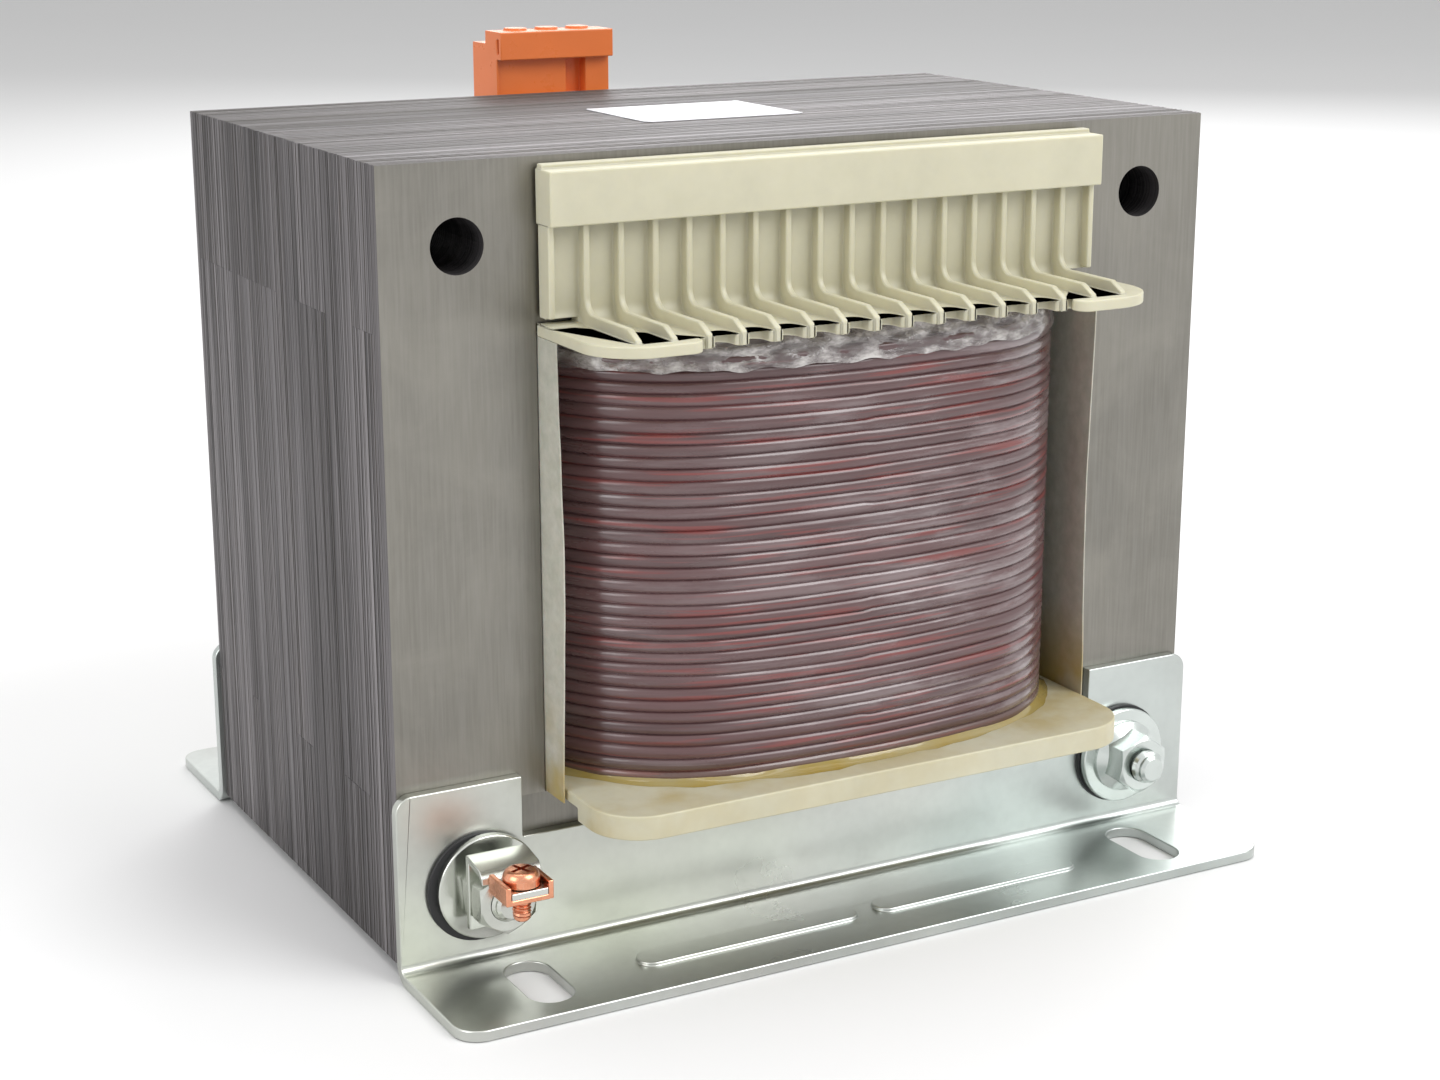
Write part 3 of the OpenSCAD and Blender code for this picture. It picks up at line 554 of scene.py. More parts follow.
def nylon_paint(name, look, amber=0.0):
    """Cloudy, slightly see-through nylon, stained by varnish where amber is above 0."""
    p = Paint(name, roughness=0.42, specular_ior_level=0.45, subsurface_weight=0.22,
              subsurface_scale=0.003, subsurface_radius=(1.0, 0.85, 0.45))
    depth = p.sum("ABSOLUTE", p.axis("Y"))
    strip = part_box("front_flange")[1].y
    thick = p.span(depth, abs(strip) + 2.4 * MM, abs(strip) + 4.6 * MM)
    mottle = p.clouds(p.stretched(160, 160, 160), 4, 0.6)
    flow = p.clouds(p.stretched(70, 25, 18, 2.0), 3, 0.5)
    body = p.mix(thick, look.thin, look.nylon)
    body = p.mix(p.span(mottle, 0.35, 0.7, 0, 0.30), body, shaded(look.nylon, 0.80))
    body = p.mix(p.span(flow, 0.45, 0.75, 0, 0.35), body, shaded(look.nylon, 1.12))
    if amber:
        stain = p.clouds(p.stretched(55, 55, 55, 5.0), 4, 0.6)
        low = p.span(depth, 82 * MM, 95 * MM, 1.0, 0.1)
        body = p.mix(p.sum("MULTIPLY", p.span(stain, 0.38, 0.62, 0, amber), low), body, look.amber)
    marks = p.group(GROUPS["handling"], vector=p.place, smudges=0.2, scratches=0.2)
    p.bump(p.sum("ADD", mottle, marks.outputs["Height"]), 0.18, 0.0001)
    return p.end(base_color=body, roughness=p.span(mottle, 0.3, 0.7, 0.36, 0.50))


def enamel_paint(name, look):
    """Enamelled wire under a clear film that clings in places; its pale patches are partly painted
    reflection, its thin red streaks painted glints.
    """
    p = Paint(name, specular_ior_level=0.5, coat_roughness=0.14)
    z = p.axis("Z")
    pitch = (COIL_HIGH.z - COIL_LOW.z) / look.turns
    turn = p.sum("DIVIDE", p.sum("SUBTRACT", z, COIL_LOW.z), pitch)
    each = p.add("ShaderNodeTexWhiteNoise", {"W": p.sum("FLOOR", turn)},
                 noise_dimensions="1D").outputs["Value"]
    along = p.clouds(p.stretched(16, 16, 420), 4, 0.6)
    # Thin bright red streaks along the turns are painted glints
    red_glint = p.span(p.clouds(p.stretched(30, 30, 900, 4.0), 3, 0.5), 0.56, 0.66)
    wire = p.mix(p.span(each, 0, 1, 0, 0.6), look.enamel, shaded(look.enamel, 1.9))
    wire = p.mix(p.span(along, 0.45, 0.7, 0, 0.7), wire, (0.15, 0.085, 0.088))
    wire = p.mix(p.sum("MULTIPLY", red_glint, 0.6), wire, (0.24, 0.035, 0.03))
    # The film clings in long flat patches, mostly on the right half; their pale colour is partly that
    # film and partly painted reflection
    patch = p.clouds(p.stretched(26, 26, 150, 8.0), 5, 0.65)
    side = p.span(p.axis("X"), -30 * MM, 25 * MM, 0.25, 1.0)
    cling_and_reflection = p.sum("MULTIPLY", p.span(patch, 0.50, 0.62), side)
    body = p.mix(p.sum("MULTIPLY", cling_and_reflection, 0.75), wire, look.glare)
    body = p.mix(p.span(z, COIL_LOW.z, COIL_LOW.z + 5 * MM, 0.45, 0), body, (0.13, 0.075, 0.03))
    p.bump(p.sum("ADD", p.sum("MULTIPLY", patch, 1.2), along), 0.35, 0.00025)
    return p.end(base_color=body, coat_weight=p.span(patch, 0.4, 0.65, 0.35, 1.0),
                 roughness=p.span(patch, 0.35, 0.65, 0.36, 0.20))


def zinc_paint(name, look, rough=0.30, tone=1.0):
    """Bright zinc plate, faintly cloudy and with a hint of yellow and blue."""
    p = Paint(name, metallic=1.0)
    base = shaded(look.zinc, tone)
    cloud = p.clouds(p.stretched(20, 20, 20), 4, 0.55)
    spangle = p.clouds(p.stretched(420, 420, 420), 2, 0.5)
    tint = p.ramp(p.clouds(p.stretched(9, 9, 9, 3.0), 2), (0.35, (0.98, 1.0, 0.93)),
                  (0.5, (1, 1, 1)), (0.65, (0.94, 0.99, 1.0)))
    body = p.mix(p.span(cloud, 0.3, 0.7), shaded(base, 0.86), shaded(base, 1.1))
    body = p.mix(p.span(spangle, 0.4, 0.7, 0, 0.12), body, shaded(base, 0.7))
    body = p.mix(1.0, body, tint, "MULTIPLY")
    marks = p.group(GROUPS["handling"], vector=p.place, smudges=0.25, scratches=0.35)
    body = p.mix(p.sum("MULTIPLY", marks.outputs["Marks"], 0.5), body, shaded(base, 0.75))
    roughness = p.sum("ADD", p.span(cloud, 0.3, 0.7, rough - 0.05, rough + 0.06),
                      p.sum("MULTIPLY", marks.outputs["Marks"], 0.15))
    p.bump(p.sum("SUBTRACT", spangle, marks.outputs["Height"]), 0.07, 0.0001)
    return p.end(base_color=body, roughness=roughness)


def copper_paint(name, look):
    p = Paint(name, metallic=1.0)
    cloud = p.clouds(p.stretched(260, 260, 260), 4, 0.6)
    marks = p.group(GROUPS["handling"], vector=p.place, smudges=0.4, scratches=0.4)
    body = p.mix(p.span(cloud, 0.35, 0.7), look.copper, shaded(look.copper, 0.68))
    body = p.mix(p.sum("MULTIPLY", marks.outputs["Marks"], 0.5), body, (0.95, 0.62, 0.48))
    p.bump(cloud, 0.12, 0.0001)
    return p.end(base_color=body, roughness=p.span(cloud, 0.3, 0.7, 0.18, 0.34))


def moulded_paint(name, colour_value, rough=0.33, size=220, strength=0.12, **sockets):
    """Moulded plastic or fibre: slight flow marks, fine skin and handling marks."""
    p = Paint(name, **sockets)
    skin = p.clouds(p.stretched(size, size, size), 4, 0.6)
    flow = p.clouds(p.stretched(40, 25, 60, 1.0), 3, 0.5)
    body = p.mix(p.span(flow, 0.35, 0.7, 0, 0.5), colour_value, shaded(colour_value, 0.80))
    marks = p.group(GROUPS["handling"], vector=p.place, smudges=0.3, scratches=0.3)
    body = p.mix(p.sum("MULTIPLY", marks.outputs["Marks"], 0.18), body,
                 tuple(min(1, c * 1.25 + 0.02) for c in colour_value))
    p.bump(p.sum("ADD", skin, marks.outputs["Height"]), strength, 0.0001)
    return p.end(base_color=body, roughness=p.span(skin, 0.3, 0.7, rough - 0.05, rough + 0.08))


def sheet_insulation_paint(name, look):
    """Pale pressed sheet, stained by varnish at its lower end."""
    p = Paint(name, roughness=0.45, subsurface_weight=0.1, subsurface_scale=0.001)
    fibres = p.clouds(p.stretched(60, 300, 300), 4, 0.65)
    body = p.mix(p.span(fibres, 0.35, 0.7), (0.43, 0.43, 0.36), (0.54, 0.53, 0.46))
    low = p.span(p.axis("Z"), 40 * MM, 62 * MM, 0.9, 0.0)
    stain = p.span(p.clouds(p.stretched(50, 50, 50), 3), 0.35, 0.6)
    body = p.mix(p.sum("MULTIPLY", low, stain), body, look.amber)
    p.bump(fibres, 0.15, 0.0001)
    return p.end(base_color=body)


def varnish_paint(name, look):
    p = Paint(name, coat_roughness=0.06, specular_ior_level=0.6)
    pool = p.clouds(p.stretched(90, 90, 90), 3, 0.5)
    body = p.mix(p.span(pool, 0.3, 0.7), look.amber, (0.60, 0.50, 0.22))
    p.bump(pool, 0.2, 0.0003)
    return p.end(base_color=body, roughness=p.span(pool, 0.3, 0.7, 0.10, 0.22),
                 alpha=p.span(pool, 0.3, 0.7, 0.85, 0.55), coat_weight=p.span(pool, 0.3, 0.7, 0.6, 1.0))


def film_paint(name):
    p = Paint(name, coat_roughness=0.05, specular_ior_level=0.8)
    fold = p.clouds(p.stretched(140, 140, 320), 5, 0.65)
    # The pale colour on the folds is partly the film's milky whitening and partly painted glints
    body = p.mix(p.span(fold, 0.4, 0.7), (0.28, 0.24, 0.24), (0.75, 0.72, 0.70))
    p.bump(fold, 0.7, 0.0006)
    return p.end(base_color=body, roughness=p.span(fold, 0.3, 0.7, 0.10, 0.25),
                 alpha=p.span(fold, 0.42, 0.66, 0.25, 0.80), coat_weight=p.span(fold, 0.4, 0.6, 0.6, 1.0))


def label_paint(name):
    p = Paint(name, roughness=0.38, specular_ior_level=0.5)
    pulp = p.clouds(p.stretched(700, 700, 700), 4, 0.6)
    shade = p.clouds(p.stretched(40, 40, 40), 2, 0.5)
    body = p.mix(p.span(shade, 0.35, 0.7), (0.74, 0.74, 0.77), (0.66, 0.66, 0.70))
    body = p.mix(p.span(pulp, 0.4, 0.7, 0, 0.2), body, (0.6, 0.6, 0.62))
    p.bump(pulp, 0.12, 0.00005)
    return p.end(base_color=body)


GROUPS = {}
PAINTS = {}


class TransformerOperator:
    bl_options = {"REGISTER", "UNDO"}


# ---- Core ---------------------------------------------------------------------------------

class TRANSFORMER_OT_paints(TransformerOperator, bpy.types.Operator):
    """Make the shared patterns and every material"""
    bl_idname = "transformer.paints"
    bl_label = "Materials"

    def execute(self, context):
        scene = context.scene
        GROUPS["handling"] = handling_group()
        core, bobbin, coil = scene.transformer_core, scene.transformer_bobbin, scene.transformer_coil
        fittings, block = scene.transformer_fittings, scene.transformer_block
        for k in range(3):
            PAINTS[f"sheets_{k}"] = sheet_stack(
                f"sheet_stack_{k}", core, 1.7 * k, (1.0, 0.86, 1.12)[k])
        PAINTS["nylon"] = nylon_paint("nylon", bobbin)
        PAINTS["nylon_low"] = nylon_paint("nylon_varnished", bobbin, 0.55)
        PAINTS["liner"] = sheet_insulation_paint("window_liner", bobbin)
        PAINTS["varnish"] = varnish_paint("varnish", bobbin)
        PAINTS["enamel"] = enamel_paint("enamelled_wire", coil)
        PAINTS["film"] = film_paint("clear_film")
        PAINTS["zinc"] = zinc_paint("zinc_plate", fittings, 0.30)
        PAINTS["bright"] = zinc_paint("zinc_fasteners", fittings, 0.20, 1.15)
        PAINTS["copper"] = copper_paint("clamp_copper", fittings)
        PAINTS["fibre"] = moulded_paint("black_fibre", tuple(fittings.fibre), 0.4)
        PAINTS["block"] = moulded_paint("block_plastic", tuple(block.plastic), 0.30,
                                        specular_ior_level=0.5)
        PAINTS["sleeve"] = moulded_paint("lead_sleeve", tuple(block.sleeve), 0.45, 900, 0.4)
        PAINTS["label"] = label_paint("blank_label")
        return {"FINISHED"}


class TRANSFORMER_OT_core(TransformerOperator, bpy.types.Operator):
    """Paint the packets of sheets and lay the ragged edges of the single sheets over them"""
    bl_idname = "transformer.core"
    bl_label = "Core"

    def execute(self, context):
        look = context.scene.transformer_core
        tree = sheet_edges_tree()
        rows = {k: [] for k in range(3)}
        depth = 6 * MM
        gap = 0.05 * MM
        for n in range(1, PACKETS + 1):
            for kind, shift in (("e", 0), ("i", 1)):
                node = f"{kind}_packet_{n}"
                tone = (n + shift) % 3
                repaint(node, f"sheets_{tone}")
                low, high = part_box(node)
                count = max(1, round((high.y - low.y) / look.pitch))
                pitch = (high.y - low.y) / count
                middle = (low + high) / 2
                first = low.y + pitch / 2
                thick = pitch * 0.84
                rag = look.ragged
                tall = high.z - low.z - 2 * gap
                wide = high.x - low.x - 2 * gap
                faces = [
                    (-1, 0, (low.x + depth / 2, middle.z), (depth, tall), (-rag, 0)),
                    (1, 0, (high.x - depth / 2, middle.z), (depth, tall), (rag, 0)),
                ]
                if high.z > CORE_TOP - MM:
                    faces.append((0, 1, (middle.x, high.z - depth / 2), (wide, depth), (0, rag)))
                if low.z < CORE_LOW + MM:
                    faces.append((0, -1, (middle.x, low.z + depth / 2), (wide, depth), (0, 0)))
                for sx, sz, centre, size, push in faces:
                    rows[tone].append(from_tree(
                        "row", tree, count=count, pitch=(0, pitch, 0),
                        start=(centre[0], first, centre[1]), size=(size[0], thick, size[1]),
                        push=(push[0], 0, push[1]), seed=17 * n + 5 * shift + 2 * sx + sz,
                        material=PAINTS[f"sheets_{tone}"]))
        for k, same in rows.items():
            finish_piece(join(f"sheet_edges_{k + 1}", *same), PAINTS[f"sheets_{k}"], "core_steel")
        return {"FINISHED"}


# ---- Bobbin -------------------------------------------------------------------------------

class TRANSFORMER_OT_bobbin(TransformerOperator, bpy.types.Operator):
    """Round the moulded edges of the bobbin and hang the liners in the windows"""
    bl_idname = "transformer.bobbin"
    bl_label = "Bobbin"

    def execute(self, context):
        look = context.scene.transformer_bobbin
        for node, paint in (("front_flange", "nylon"), ("rear_flange", "nylon"),
                            ("bottom_flange", "nylon_low"), ("bobbin_tube", "nylon_low")):
            dress(node, node + "_moulding", look.edge, paint, "nylon")
        for node, side in (("left_liner", -1), ("right_liner", 1)):
            finish_piece(self.liner(node, side), PAINTS["liner"], "insulation", node)
        return {"FINISHED"}

    def liner(self, node, side):
        """A thin sheet whose free front and rear edges bow a little inwards."""
        low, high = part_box(node)
        rows, columns = 60, 48
        bow, wave = 0.9 * MM, 0.12 * MM
        middle = (low + high) / 2
        thick = high.x - low.x
        verts, faces = [], []
        for wall in (0, 1):
            for i in range(rows + 1):
                v = i / rows
                for j in range(columns + 1):
                    u = j / columns
                    y = low.y + (high.y - low.y) * u
                    z = low.z + (high.z - low.z) * v
                    free = max(0.0, (abs(y) - abs(FRONT_FACE)) / (high.y - abs(FRONT_FACE)))
                    inward = free * (bow * math.sin(math.pi * v) ** 2
                                     + wave * noise.noise(Vector((side * 3, y * 30, z * 90))))
                    x = (middle.x + side * thick / 2 * (1 if wall else -0.2)) - side * inward
                    verts.append((x, y, z))
        step = columns + 1
        base = step * (rows + 1)
        for i in range(rows):
            for j in range(columns):
                a = i * step + j
                faces.append((a, a + 1, a + step + 1, a + step))
                faces.append((base + a + step, base + a + step + 1, base + a + 1, base + a))
        for j in range(columns):
            for a in (j, rows * step + j):
                faces.append((a, base + a, base + a + 1, a + 1))
        for i in range(rows):
            for a in (i * step, i * step + columns):
                faces.append((a, a + step, base + a + step, base + a))
        return new_object(node + "_sheet", smooth(mesh_from(node + "_sheet", verts, faces), 40))


# ---- Coil ---------------------------------------------------------------------------------

def coil_outline(half, end, corner, bulge, step):
    """(point, outward normal) all round the coil's plan: tangent bulges, corners and flanks."""
    corner_x = half - corner
    corner_y = end - bulge + math.sqrt((bulge - corner) ** 2 - corner_x ** 2)
    turn = math.asin(corner_x / (bulge - corner))
    quarter = []
    for k in range(max(2, round(bulge * turn / step))):
        a = turn * k / max(2, round(bulge * turn / step))
        quarter.append((bulge * math.sin(a), bulge - end - bulge * math.cos(a), a))
    count = max(4, round(corner * (math.pi / 2 - turn) / step))
    for k in range(count + 1):
        a = turn + (math.pi / 2 - turn) * k / count
        quarter.append((corner_x + corner * math.sin(a), -corner_y - corner * math.cos(a), a))
    for k in range(1, 4):
        quarter.append((half, -corner_y * (1 - k / 4), math.pi / 2))
    quarter.append((half, 0.0, math.pi / 2))
    ring = [(Vector((x, y, 0)), Vector((math.sin(a), -math.cos(a), 0))) for x, y, a in quarter]
    ring += [(Vector((p.x, -p.y, 0)), Vector((n.x, -n.y, 0))) for p, n in reversed(ring[:-1])]
    ring += [(Vector((-p.x, p.y, 0)), Vector((-n.x, n.y, 0))) for p, n in reversed(ring[1:-1])]
    return ring


def shell(name, ring, rows, skin, angle=60):
    """A closed wall round the coil. rows gives heights; skin(k, row, wall) gives (out, up)."""
    count = len(ring)
    verts, faces = [], []
    for wall in (0, 1):
        for i, z in enumerate(rows):
            for k, (p, n) in enumerate(ring):
                out, up = skin(k, i, wall)
                verts.append(p + n * out + Vector((0, 0, z + up)))
    layer = count * len(rows)
    for i in range(len(rows) - 1):
        for k in range(count):
            a, b = i * count + k, i * count + (k + 1) % count
            faces.append((a, b, b + count, a + count))
            faces.append((layer + a + count, layer + b + count, layer + b, layer + a))
    last = (len(rows) - 1) * count
    for k in range(count):
        n = (k + 1) % count
        faces.append((k, layer + k, layer + n, n))
        faces.append((last + k, last + n, layer + last + n, layer + last + k))
    return new_object(name, smooth(mesh_from(name, verts, faces), angle))


class TRANSFORMER_OT_coil(TransformerOperator, bpy.types.Operator):
    """Wind the visible layer, wrap its clear film and lay the varnish at its foot"""
    bl_idname = "transformer.coil"
    bl_label = "Coil"

    def execute(self, context):
        look = context.scene.transformer_coil
        half, end = COIL_HIGH.x, COIL_HIGH.y
        ring = coil_outline(half, end, look.corner, look.bulge, 2.4 * MM)
        lengths = [0.0]
        for (p, _), (q, _) in zip(ring, ring[1:]):
            lengths.append(lengths[-1] + (q - p).length)

        # Each turn is a rounded ridge; turns wander a little up and down along their way
        pitch = (COIL_HIGH.z - COIL_LOW.z) / look.turns
        across = (0.0, 0.05, 0.14, 0.30, 0.5, 0.70, 0.86, 0.95)
        rows, places = [], []
        for turn in range(look.turns):
            for t in across:
                rows.append(COIL_LOW.z + (turn + t) * pitch)
                places.append((turn, t))
        rows.append(COIL_HIGH.z)
        places.append((look.turns, 0.0))

        def border(index, k):
            if index <= 0 or index >= look.turns:
                return 0.0
            s = lengths[k]
            return look.stray * (noise.noise(Vector((index * 0.61, s * 19, 1.5)))
                                 + 0.5 * noise.noise(Vector((index * 7.3, s * 6, 9.5))))

        def skin(k, i, wall):
            turn, t = places[i]
            up = border(turn, k) * (1 - t) + border(turn + 1, k) * t
            if wall == 0:
                return -3 * MM, up
            ridge = 1 - abs(2 * t - 1) ** 3.2
            swell = 0.12 * MM * noise.noise(Vector((turn * 1.7, lengths[k] * 14, 4)))
            return -look.groove * (1 - ridge) + min(0.0, swell), up

        finish_piece(shell("wound_turns", ring, rows, skin), PAINTS["enamel"],
                     "enamel_wire", "outer_winding")

        # The film stands free of the wire at the top, where it is crumpled
        fine = coil_outline(FILM_HIGH.x, FILM_HIGH.y, look.corner, look.bulge, 1.1 * MM)
        start = COIL_HIGH.z - 3.2 * MM
        steps = 14
        heights = [start + (FILM_HIGH.z - start) * i / steps for i in range(steps + 1)]

        def crumple(k, i, wall):
            p = fine[k][0]
            v = i / steps
            fold = noise.noise(Vector((p.x * 170, p.y * 170, v * 3.5)))
            crease = abs(noise.noise(Vector((p.x * 420 + 3, p.y * 420, v * 6)))) ** 0.7
            lean = -1.6 * MM * v * v
            out = lean + (0.75 * MM * fold - 0.5 * MM * crease) * min(1, 3 * v)
            edge = 0.0 if 0 < i < steps else (1 if i == 0 else 0) * 1.2 * MM * fold
            return min(0.0, out) - (0.06 * MM if wall == 0 else 0.0), edge

        finish_piece(shell("crumpled_film", fine, heights, crumple), PAINTS["film"], "film",
                     "coil_film")

        # Varnish has pooled between the coil and the bottom flange
        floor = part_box("bottom_flange")[1].z
        pool_steps = 4

        def pool(k, i, wall):
            p = ring[k][0]
            reach = (2.2 + 2.4 * noise.noise(Vector((p.x * 38, p.y * 38, 2)))
                     + 1.0 * noise.noise(Vector((p.x * 160, p.y * 160, 5)))) * MM
            reach = max(0.8 * MM, reach) if abs(p.x) < half - 3 * MM else 0.3 * MM
            t = i / pool_steps
            out = reach * (t ** 0.8) - 0.4 * MM
            up = (1.5 * MM * (1 - t) ** 2.4 + 0.12 * MM * (1 - t ** 6)) if wall else 0.0
            return out, up

        finish_piece(shell("varnish_pool", ring, [floor + 0.01 * MM] * (pool_steps + 1), pool),
                     PAINTS["varnish"], "nylon")
        repaint("inner_winding", "enamel")
        repaint("layer_insulation", "liner")
        return {"FINISHED"}


# ---- Brackets and fasteners ---------------------------------------------------------------

class TRANSFORMER_OT_brackets(TransformerOperator, bpy.types.Operator):
    """Round the edges of the two angle brackets"""
    bl_idname = "transformer.brackets"
    bl_label = "Brackets"

    def execute(self, context):
        look = context.scene.transformer_fittings
        for node in ("front_bracket", "rear_bracket"):
            dress(node, node + "_sheet", look.edge, "zinc", "zinc")
        return {"FINISHED"}


def threaded_end(name, tree, radius, pitch, long, paint):
    """A thread with its core and a chamfered end, along +Z from 0."""
    wire = from_tree(name + "_thread", tree, radius=radius - pitch * 0.33, pitch=pitch,
                     turns=(long - pitch) / pitch, wire=pitch * 0.42, material=paint)
    core = radius - pitch * 0.42
    stem = lathe(name + "_stem", [
        (0.0, 0.0), (core, 0.0), (core, long - 0.5 * pitch), (core * 0.8, long),
        (core * 0.45, long), (0.0, long - 0.08 * pitch)], 40)
    return join(name, wire, stem)


class TRANSFORMER_OT_fasteners(TransformerOperator, bpy.types.Operator):
    """Make the clamping bolts with their threads, nuts and washers"""
    bl_idname = "transformer.fasteners"
    bl_label = "Fasteners"

    def execute(self, context):
        bright = PAINTS["bright"]
        tree = thread_tree()
        low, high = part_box("clamping_bolts")
        radius = BOLT_R
        washer_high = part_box("plain_washers")[1]
        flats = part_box("full_nut")[1].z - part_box("full_nut")[0].z

        # Bolts: threaded front ends, plain shanks through the core, heads at the rear
        parts = []
        for side in (-1, 1):
            face = FRONT_FACE - 5 * MM
            thread = threaded_end("end", tree, radius, BOLT_PITCH, face - low.y, bright)
            parts.append(moved(thread, along_bolt(side, face)))
            shank_r, shank_long = radius - 0.05 * MM, washer_high.y - face
            shank = lathe("shank", [(0.0, 0.0), (shank_r, 0.0), (shank_r, shank_long),
                                    (0.0, shank_long)], 40)
            parts.append(moved(shank, along_bolt(side, washer_high.y)))
            head = hexagon_nut("head", flats, high.y - washer_high.y, 0)
            parts.append(moved(head, Matrix.Translation((side * abs(BOLT_X), washer_high.y, BOLT_Z))
                               @ Matrix.Rotation(math.radians(-90), 4, "X")))
        finish_piece(join("bolts", *parts), bright, "zinc", "clamping_bolts")
        smooth(bpy.data.objects["bolts"].data, 30)

        for node, side in (("thin_nut", -1), ("full_nut", -1)):
            a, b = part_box(node)
            nut = hexagon_nut(node + "_turned", b.z - a.z, b.y - a.y, radius)
            finish_piece(moved(nut, along_bolt(side, b.y, 4 if node == "thin_nut" else 0)),
                         bright, "zinc", node)
        a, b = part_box("flange_nut")
        flange_r = (b.z - a.z) / 2
        rim = lathe("rim", [(radius, 0.0), (flange_r - 0.1 * MM, 0.0), (flange_r, 0.25 * MM),
                            (flange_r, 0.8 * MM), (flats / 2, 2.3 * MM), (radius, 2.3 * MM),
                            (radius, 0.0)])
        top = hexagon_nut("hex", flats, b.y - a.y - MM, radius, low_chamfer=False)
        moved(top, Matrix.Translation((0, 0, MM)))
        nut = moved(join("flanged_nut", rim, top), along_bolt(1, b.y, -6))
        finish_piece(nut, bright, "zinc", "flange_nut")
        smooth(nut.data, 22)

        dress("plain_washers", "steel_washers", 0.3 * MM, "bright", "zinc")
        dress("insulating_washers", "fibre_washers", 0.15 * MM, "fibre", "fibre")
        repaint("insulating_sleeves", "fibre")
        return {"FINISHED"}


class TRANSFORMER_OT_clamp(TransformerOperator, bpy.types.Operator):
    """Make the earth clamp: bent tab, copper saddle and pan-head screw"""
    bl_idname = "transformer.clamp"
    bl_label = "Earth clamp"

    def execute(self, context):
        dress("earth_tab", "bent_tab", 0.2 * MM, "bright", "zinc")
        dress("earth_saddle", "copper_saddle", 0.25 * MM, "copper", "copper")
        low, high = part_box("earth_screw")
        centre = (low + high) / 2
        head_r = (high.x - low.x) / 2
        height = 3.3 * MM
        base = high.z - height
        dome = [(0.0, 0.0), (head_r, 0.0), (head_r, height * 0.34)]
        for k in range(1, 9):
            a = math.radians(90 * k / 8)
            dome.append((head_r * (1 - 0.42 * (1 - math.cos(a))) if k < 8 else head_r * 0.58,
                         height * (0.34 + 0.66 * math.sin(a))))
        dome.append((0.0, height))
        head = lathe("screw_head", dome, 56)
        cutter = bmesh.new()
        for turn in (0, 90):
            bmesh.ops.create_cube(cutter, size=1, matrix=(
                Matrix.Translation((0, 0, height - 0.5 * MM))
                @ Matrix.Rotation(math.radians(turn + 20), 4, "Z")
                @ Matrix.Diagonal((head_r * 1.25, 0.95 * MM, 2.0 * MM, 1))))
        mesh = bpy.data.meshes.new("recess")
        cutter.to_mesh(mesh)
        cutter.free()
        recess = new_object("recess", mesh)
        cut = head.modifiers.new("recess", "BOOLEAN")
        cut.object = recess
        cut.operation = "DIFFERENCE"
        cut.use_self = True
        plain_mesh(head)
        bpy.data.objects.remove(recess)
        stem = threaded_end("stem", thread_tree(), CLAMP_R, CLAMP_PITCH, base - low.z,
                            PAINTS["copper"])
        moved(stem, Matrix.Rotation(math.pi, 4, "X"))
        screw = join("clamp_screw", head, stem)
        moved(screw, Matrix.Translation((centre.x, centre.y, base)))
        smooth(screw.data, 32)
        finish_piece(screw, PAINTS["copper"], "copper", "earth_screw")
        return {"FINISHED"}


# ---- Terminal block and label -------------------------------------------------------------

class TRANSFORMER_OT_block(TransformerOperator, bpy.types.Operator):
    """Round the terminal block, its screws and its cages, and sleeve the lead wires"""
    bl_idname = "transformer.block"
    bl_label = "Terminal block"

    def execute(self, context):
        look = context.scene.transformer_block
        dress("terminal_housing", "block_moulding", look.edge, "block", "block")
        dress("terminal_screws", "block_screws", 0.1 * MM, "bright", "zinc")
        dress("terminal_cages", "block_cages", 0.1 * MM, "bright", "copper")
        dress("lead_wires", "sleeved_leads", 0, "sleeve", "lead_sleeve")
        return {"FINISHED"}


class TRANSFORMER_OT_label(TransformerOperator, bpy.types.Operator):
    """Lay the blank label on the top yoke, its corners a little lifted"""
    bl_idname = "transformer.label"
    bl_label = "Label"

    def execute(self, context):
        low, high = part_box("label")
        steps = 24
        radius = 1.2 * MM
        mid = (low + high) / 2
        half = (high - low) / 2
        verts, faces = [], []
        for wall in (0, 1):
            for i in range(steps + 1):
                for j in range(steps + 1):
                    u, v = 2 * i / steps - 1, 2 * j / steps - 1
                    x, y = u * half.x, v * half.y
                    over = Vector((max(0, abs(x) - half.x + radius), max(0, abs(y) - half.y + radius)))
                    if over.length > radius:
                        over = over.normalized() * radius
                        x = math.copysign(half.x - radius + over.x, x)
                        y = math.copysign(half.y - radius + over.y, y)
                    lift = 0.25 * MM * max(0, abs(u * v) - 0.55) ** 1.5
                    verts.append((mid.x + x, mid.y + y,
                                  (high.z if wall else low.z + 0.17 * MM) + lift + 0.1 * MM * wall))
        row = steps + 1
        layer = row * row
        for i in range(steps):
            for j in range(steps):
                a = i * row + j
                faces.append((a, a + 1, a + row + 1, a + row))
                faces.append((layer + a + row, layer + a + row + 1, layer + a + 1, layer + a))
        for k in range(steps):
            for a, b in ((k, k + 1), (steps * row + k, steps * row + k + 1),
                         (k * row, (k + 1) * row), (k * row + steps, (k + 1) * row + steps)):
                faces.append((a, b, layer + b, layer + a))
        sheet = new_object("blank_label", smooth(mesh_from("blank_label", verts, faces), 40))
        finish_piece(sheet, PAINTS["label"], "label_white", "label")
        return {"FINISHED"}


# ---- Stage --------------------------------------------------------------------------------

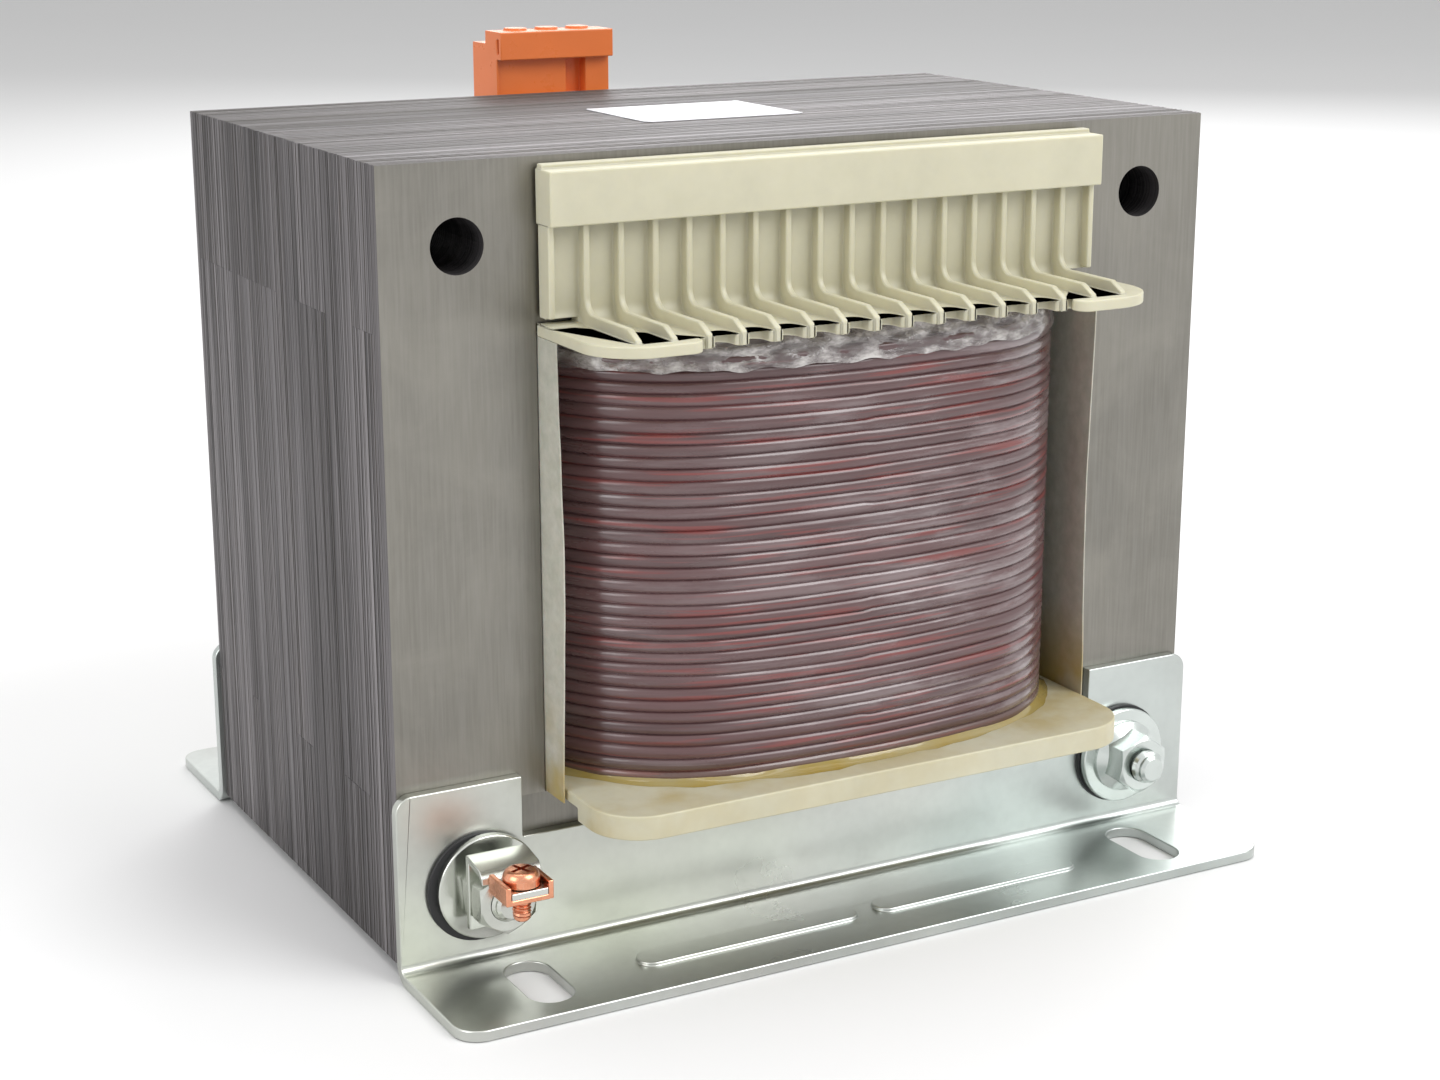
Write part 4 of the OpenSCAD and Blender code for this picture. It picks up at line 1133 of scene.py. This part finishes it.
class TRANSFORMER_OT_stage(TransformerOperator, bpy.types.Operator):
    """Set the floor, the soft light and the camera"""
    bl_idname = "transformer.stage"
    bl_label = "Stage"

    def execute(self, context):
        look = context.scene.transformer_stage
        scene = context.scene
        self.camera(scene, look)
        self.floor(look)
        self.world(scene)
        for name, place, size, power in (
                ("key", (0.75, -1.1, 1.25), 1.1, 17),
                ("left", (-1.35, -0.35, 0.75), 0.9, 7),
                ("top", (0.1, 0.35, 1.6), 1.4, 11),
                ("rear", (0.9, 1.2, 0.9), 1.0, 8)):
            self.softbox(name, place, size, power)
        scene.view_settings.view_transform = "Standard"
        return {"FINISHED"}

    def camera(self, scene, look):
        az, el = look.azimuth, look.elevation
        back = Vector((math.sin(az) * math.cos(el), -math.cos(az) * math.cos(el), math.sin(el)))
        right = Vector((math.cos(az), math.sin(az), 0))
        up = back.cross(right)
        at = (back * look.distance + right * look.aside + up * look.above
              + Vector((0, 0, CORE_LOW)))
        data = bpy.data.cameras.new("camera")
        data.lens = look.lens
        data.sensor_fit = "HORIZONTAL"
        data.sensor_width = 36
        data.clip_start = 0.01
        cam = bpy.data.objects.new("camera", data)
        scene.collection.objects.link(cam)
        cam.matrix_world = Matrix((
            (right.x, up.x, back.x, at.x), (right.y, up.y, back.y, at.y),
            (right.z, up.z, back.z, at.z), (0, 0, 0, 1)))
        scene.camera = cam

    def floor(self, look):
        size = 6
        mesh = mesh_from("floor", [(-size, -size, 0), (size, -size, 0), (size, size, 0),
                                   (-size, size, 0)], [(0, 1, 2, 3)])
        floor = new_object("floor", mesh)
        floor.location.z = CAD_BOX[0].z - 0.1 * MM
        material = bpy.data.materials.new("floor")
        material.use_nodes = True
        t = Tree(material.node_tree)
        shader = material.node_tree.nodes["Principled BSDF"]
        shader.inputs["Roughness"].default_value = 0.8
        shader.inputs["Specular IOR Level"].default_value = 0.1
        place = t.add("ShaderNodeTexCoord").outputs["Object"]
        paper = t.add("ShaderNodeTexNoise", {"Vector": place, "Scale": 3.0, "Detail": 3.0})
        shade = t.add("ShaderNodeMix", {0: paper.outputs[0]}, data_type="RGBA")
        shade.inputs[6].default_value = (*look.floor, 1)
        shade.inputs[7].default_value = (*shaded(look.floor, 0.985), 1)
        t.put(shader.inputs["Base Color"], shade.outputs[2])
        mesh.materials.append(material)

    def world(self, scene):
        world = bpy.data.worlds.new("studio")
        world.use_nodes = True
        t = Tree(world.node_tree)
        for node in list(world.node_tree.nodes):
            world.node_tree.nodes.remove(node)
        ray = t.add("ShaderNodeLightPath")
        seen = t.add("ShaderNodeMath", {0: ray.outputs["Is Camera Ray"], 1: ray.outputs["Is Glossy Ray"]},
                     operation="MAXIMUM")
        seen = t.add("ShaderNodeMath", {0: seen, 1: ray.outputs["Is Transmission Ray"]},
                     operation="MAXIMUM")
        strength = t.add("ShaderNodeMapRange", {"Value": seen, "To Min": 0.55, "To Max": 1.0})
        sky = t.add("ShaderNodeBackground", {"Color": (1, 1, 1, 1), "Strength": strength})
        t.add("ShaderNodeOutputWorld", {"Surface": sky})
        scene.world = world

    def softbox(self, name, place, size, power):
        data = bpy.data.lights.new(name, "AREA")
        data.shape = "SQUARE"
        data.size = size
        data.energy = power
        lamp = bpy.data.objects.new(name, data)
        bpy.context.scene.collection.objects.link(lamp)
        aim = Vector((0, 0, 0.09)) - Vector(place)
        lamp.matrix_world = (Matrix.Translation(place)
                             @ aim.to_track_quat("-Z", "Y").to_matrix().to_4x4())


# ---- Panel and registration ---------------------------------------------------------------

STEPS = ("paints", "core", "bobbin", "coil", "brackets", "fasteners", "clamp", "block", "label",
         "stage")
LOOKS = {"core": CoreLook, "bobbin": BobbinLook, "coil": CoilLook, "fittings": FittingsLook,
         "block": BlockLook, "stage": StageLook}


class TRANSFORMER_PT_panel(bpy.types.Panel):
    """Lists the pieces and their sizes and colours"""
    bl_idname = "TRANSFORMER_PT_panel"
    bl_label = "Transformer"
    bl_space_type = "VIEW_3D"
    bl_region_type = "UI"
    bl_category = "Transformer"

    def draw(self, context):
        for step in STEPS:
            self.layout.operator("transformer." + step)
        for name, group in LOOKS.items():
            box = self.layout.box()
            box.label(text=name.capitalize())
            for key in group.__annotations__:
                box.prop(getattr(context.scene, "transformer_" + name), key)


CLASSES = (
    *LOOKS.values(), TRANSFORMER_OT_paints, TRANSFORMER_OT_core, TRANSFORMER_OT_bobbin,
    TRANSFORMER_OT_coil, TRANSFORMER_OT_brackets, TRANSFORMER_OT_fasteners,
    TRANSFORMER_OT_clamp, TRANSFORMER_OT_block, TRANSFORMER_OT_label, TRANSFORMER_OT_stage,
    TRANSFORMER_PT_panel)


def register():
    for item in CLASSES:
        bpy.utils.register_class(item)
    for name, group in LOOKS.items():
        setattr(bpy.types.Scene, "transformer_" + name, bpy.props.PointerProperty(type=group))


def unregister():
    for name in LOOKS:
        delattr(bpy.types.Scene, "transformer_" + name)
    for item in reversed(CLASSES):
        bpy.utils.unregister_class(item)


def main():
    register()
    for step in STEPS:
        getattr(bpy.ops.transformer, step)()


if __name__ == "__main__":
    main()
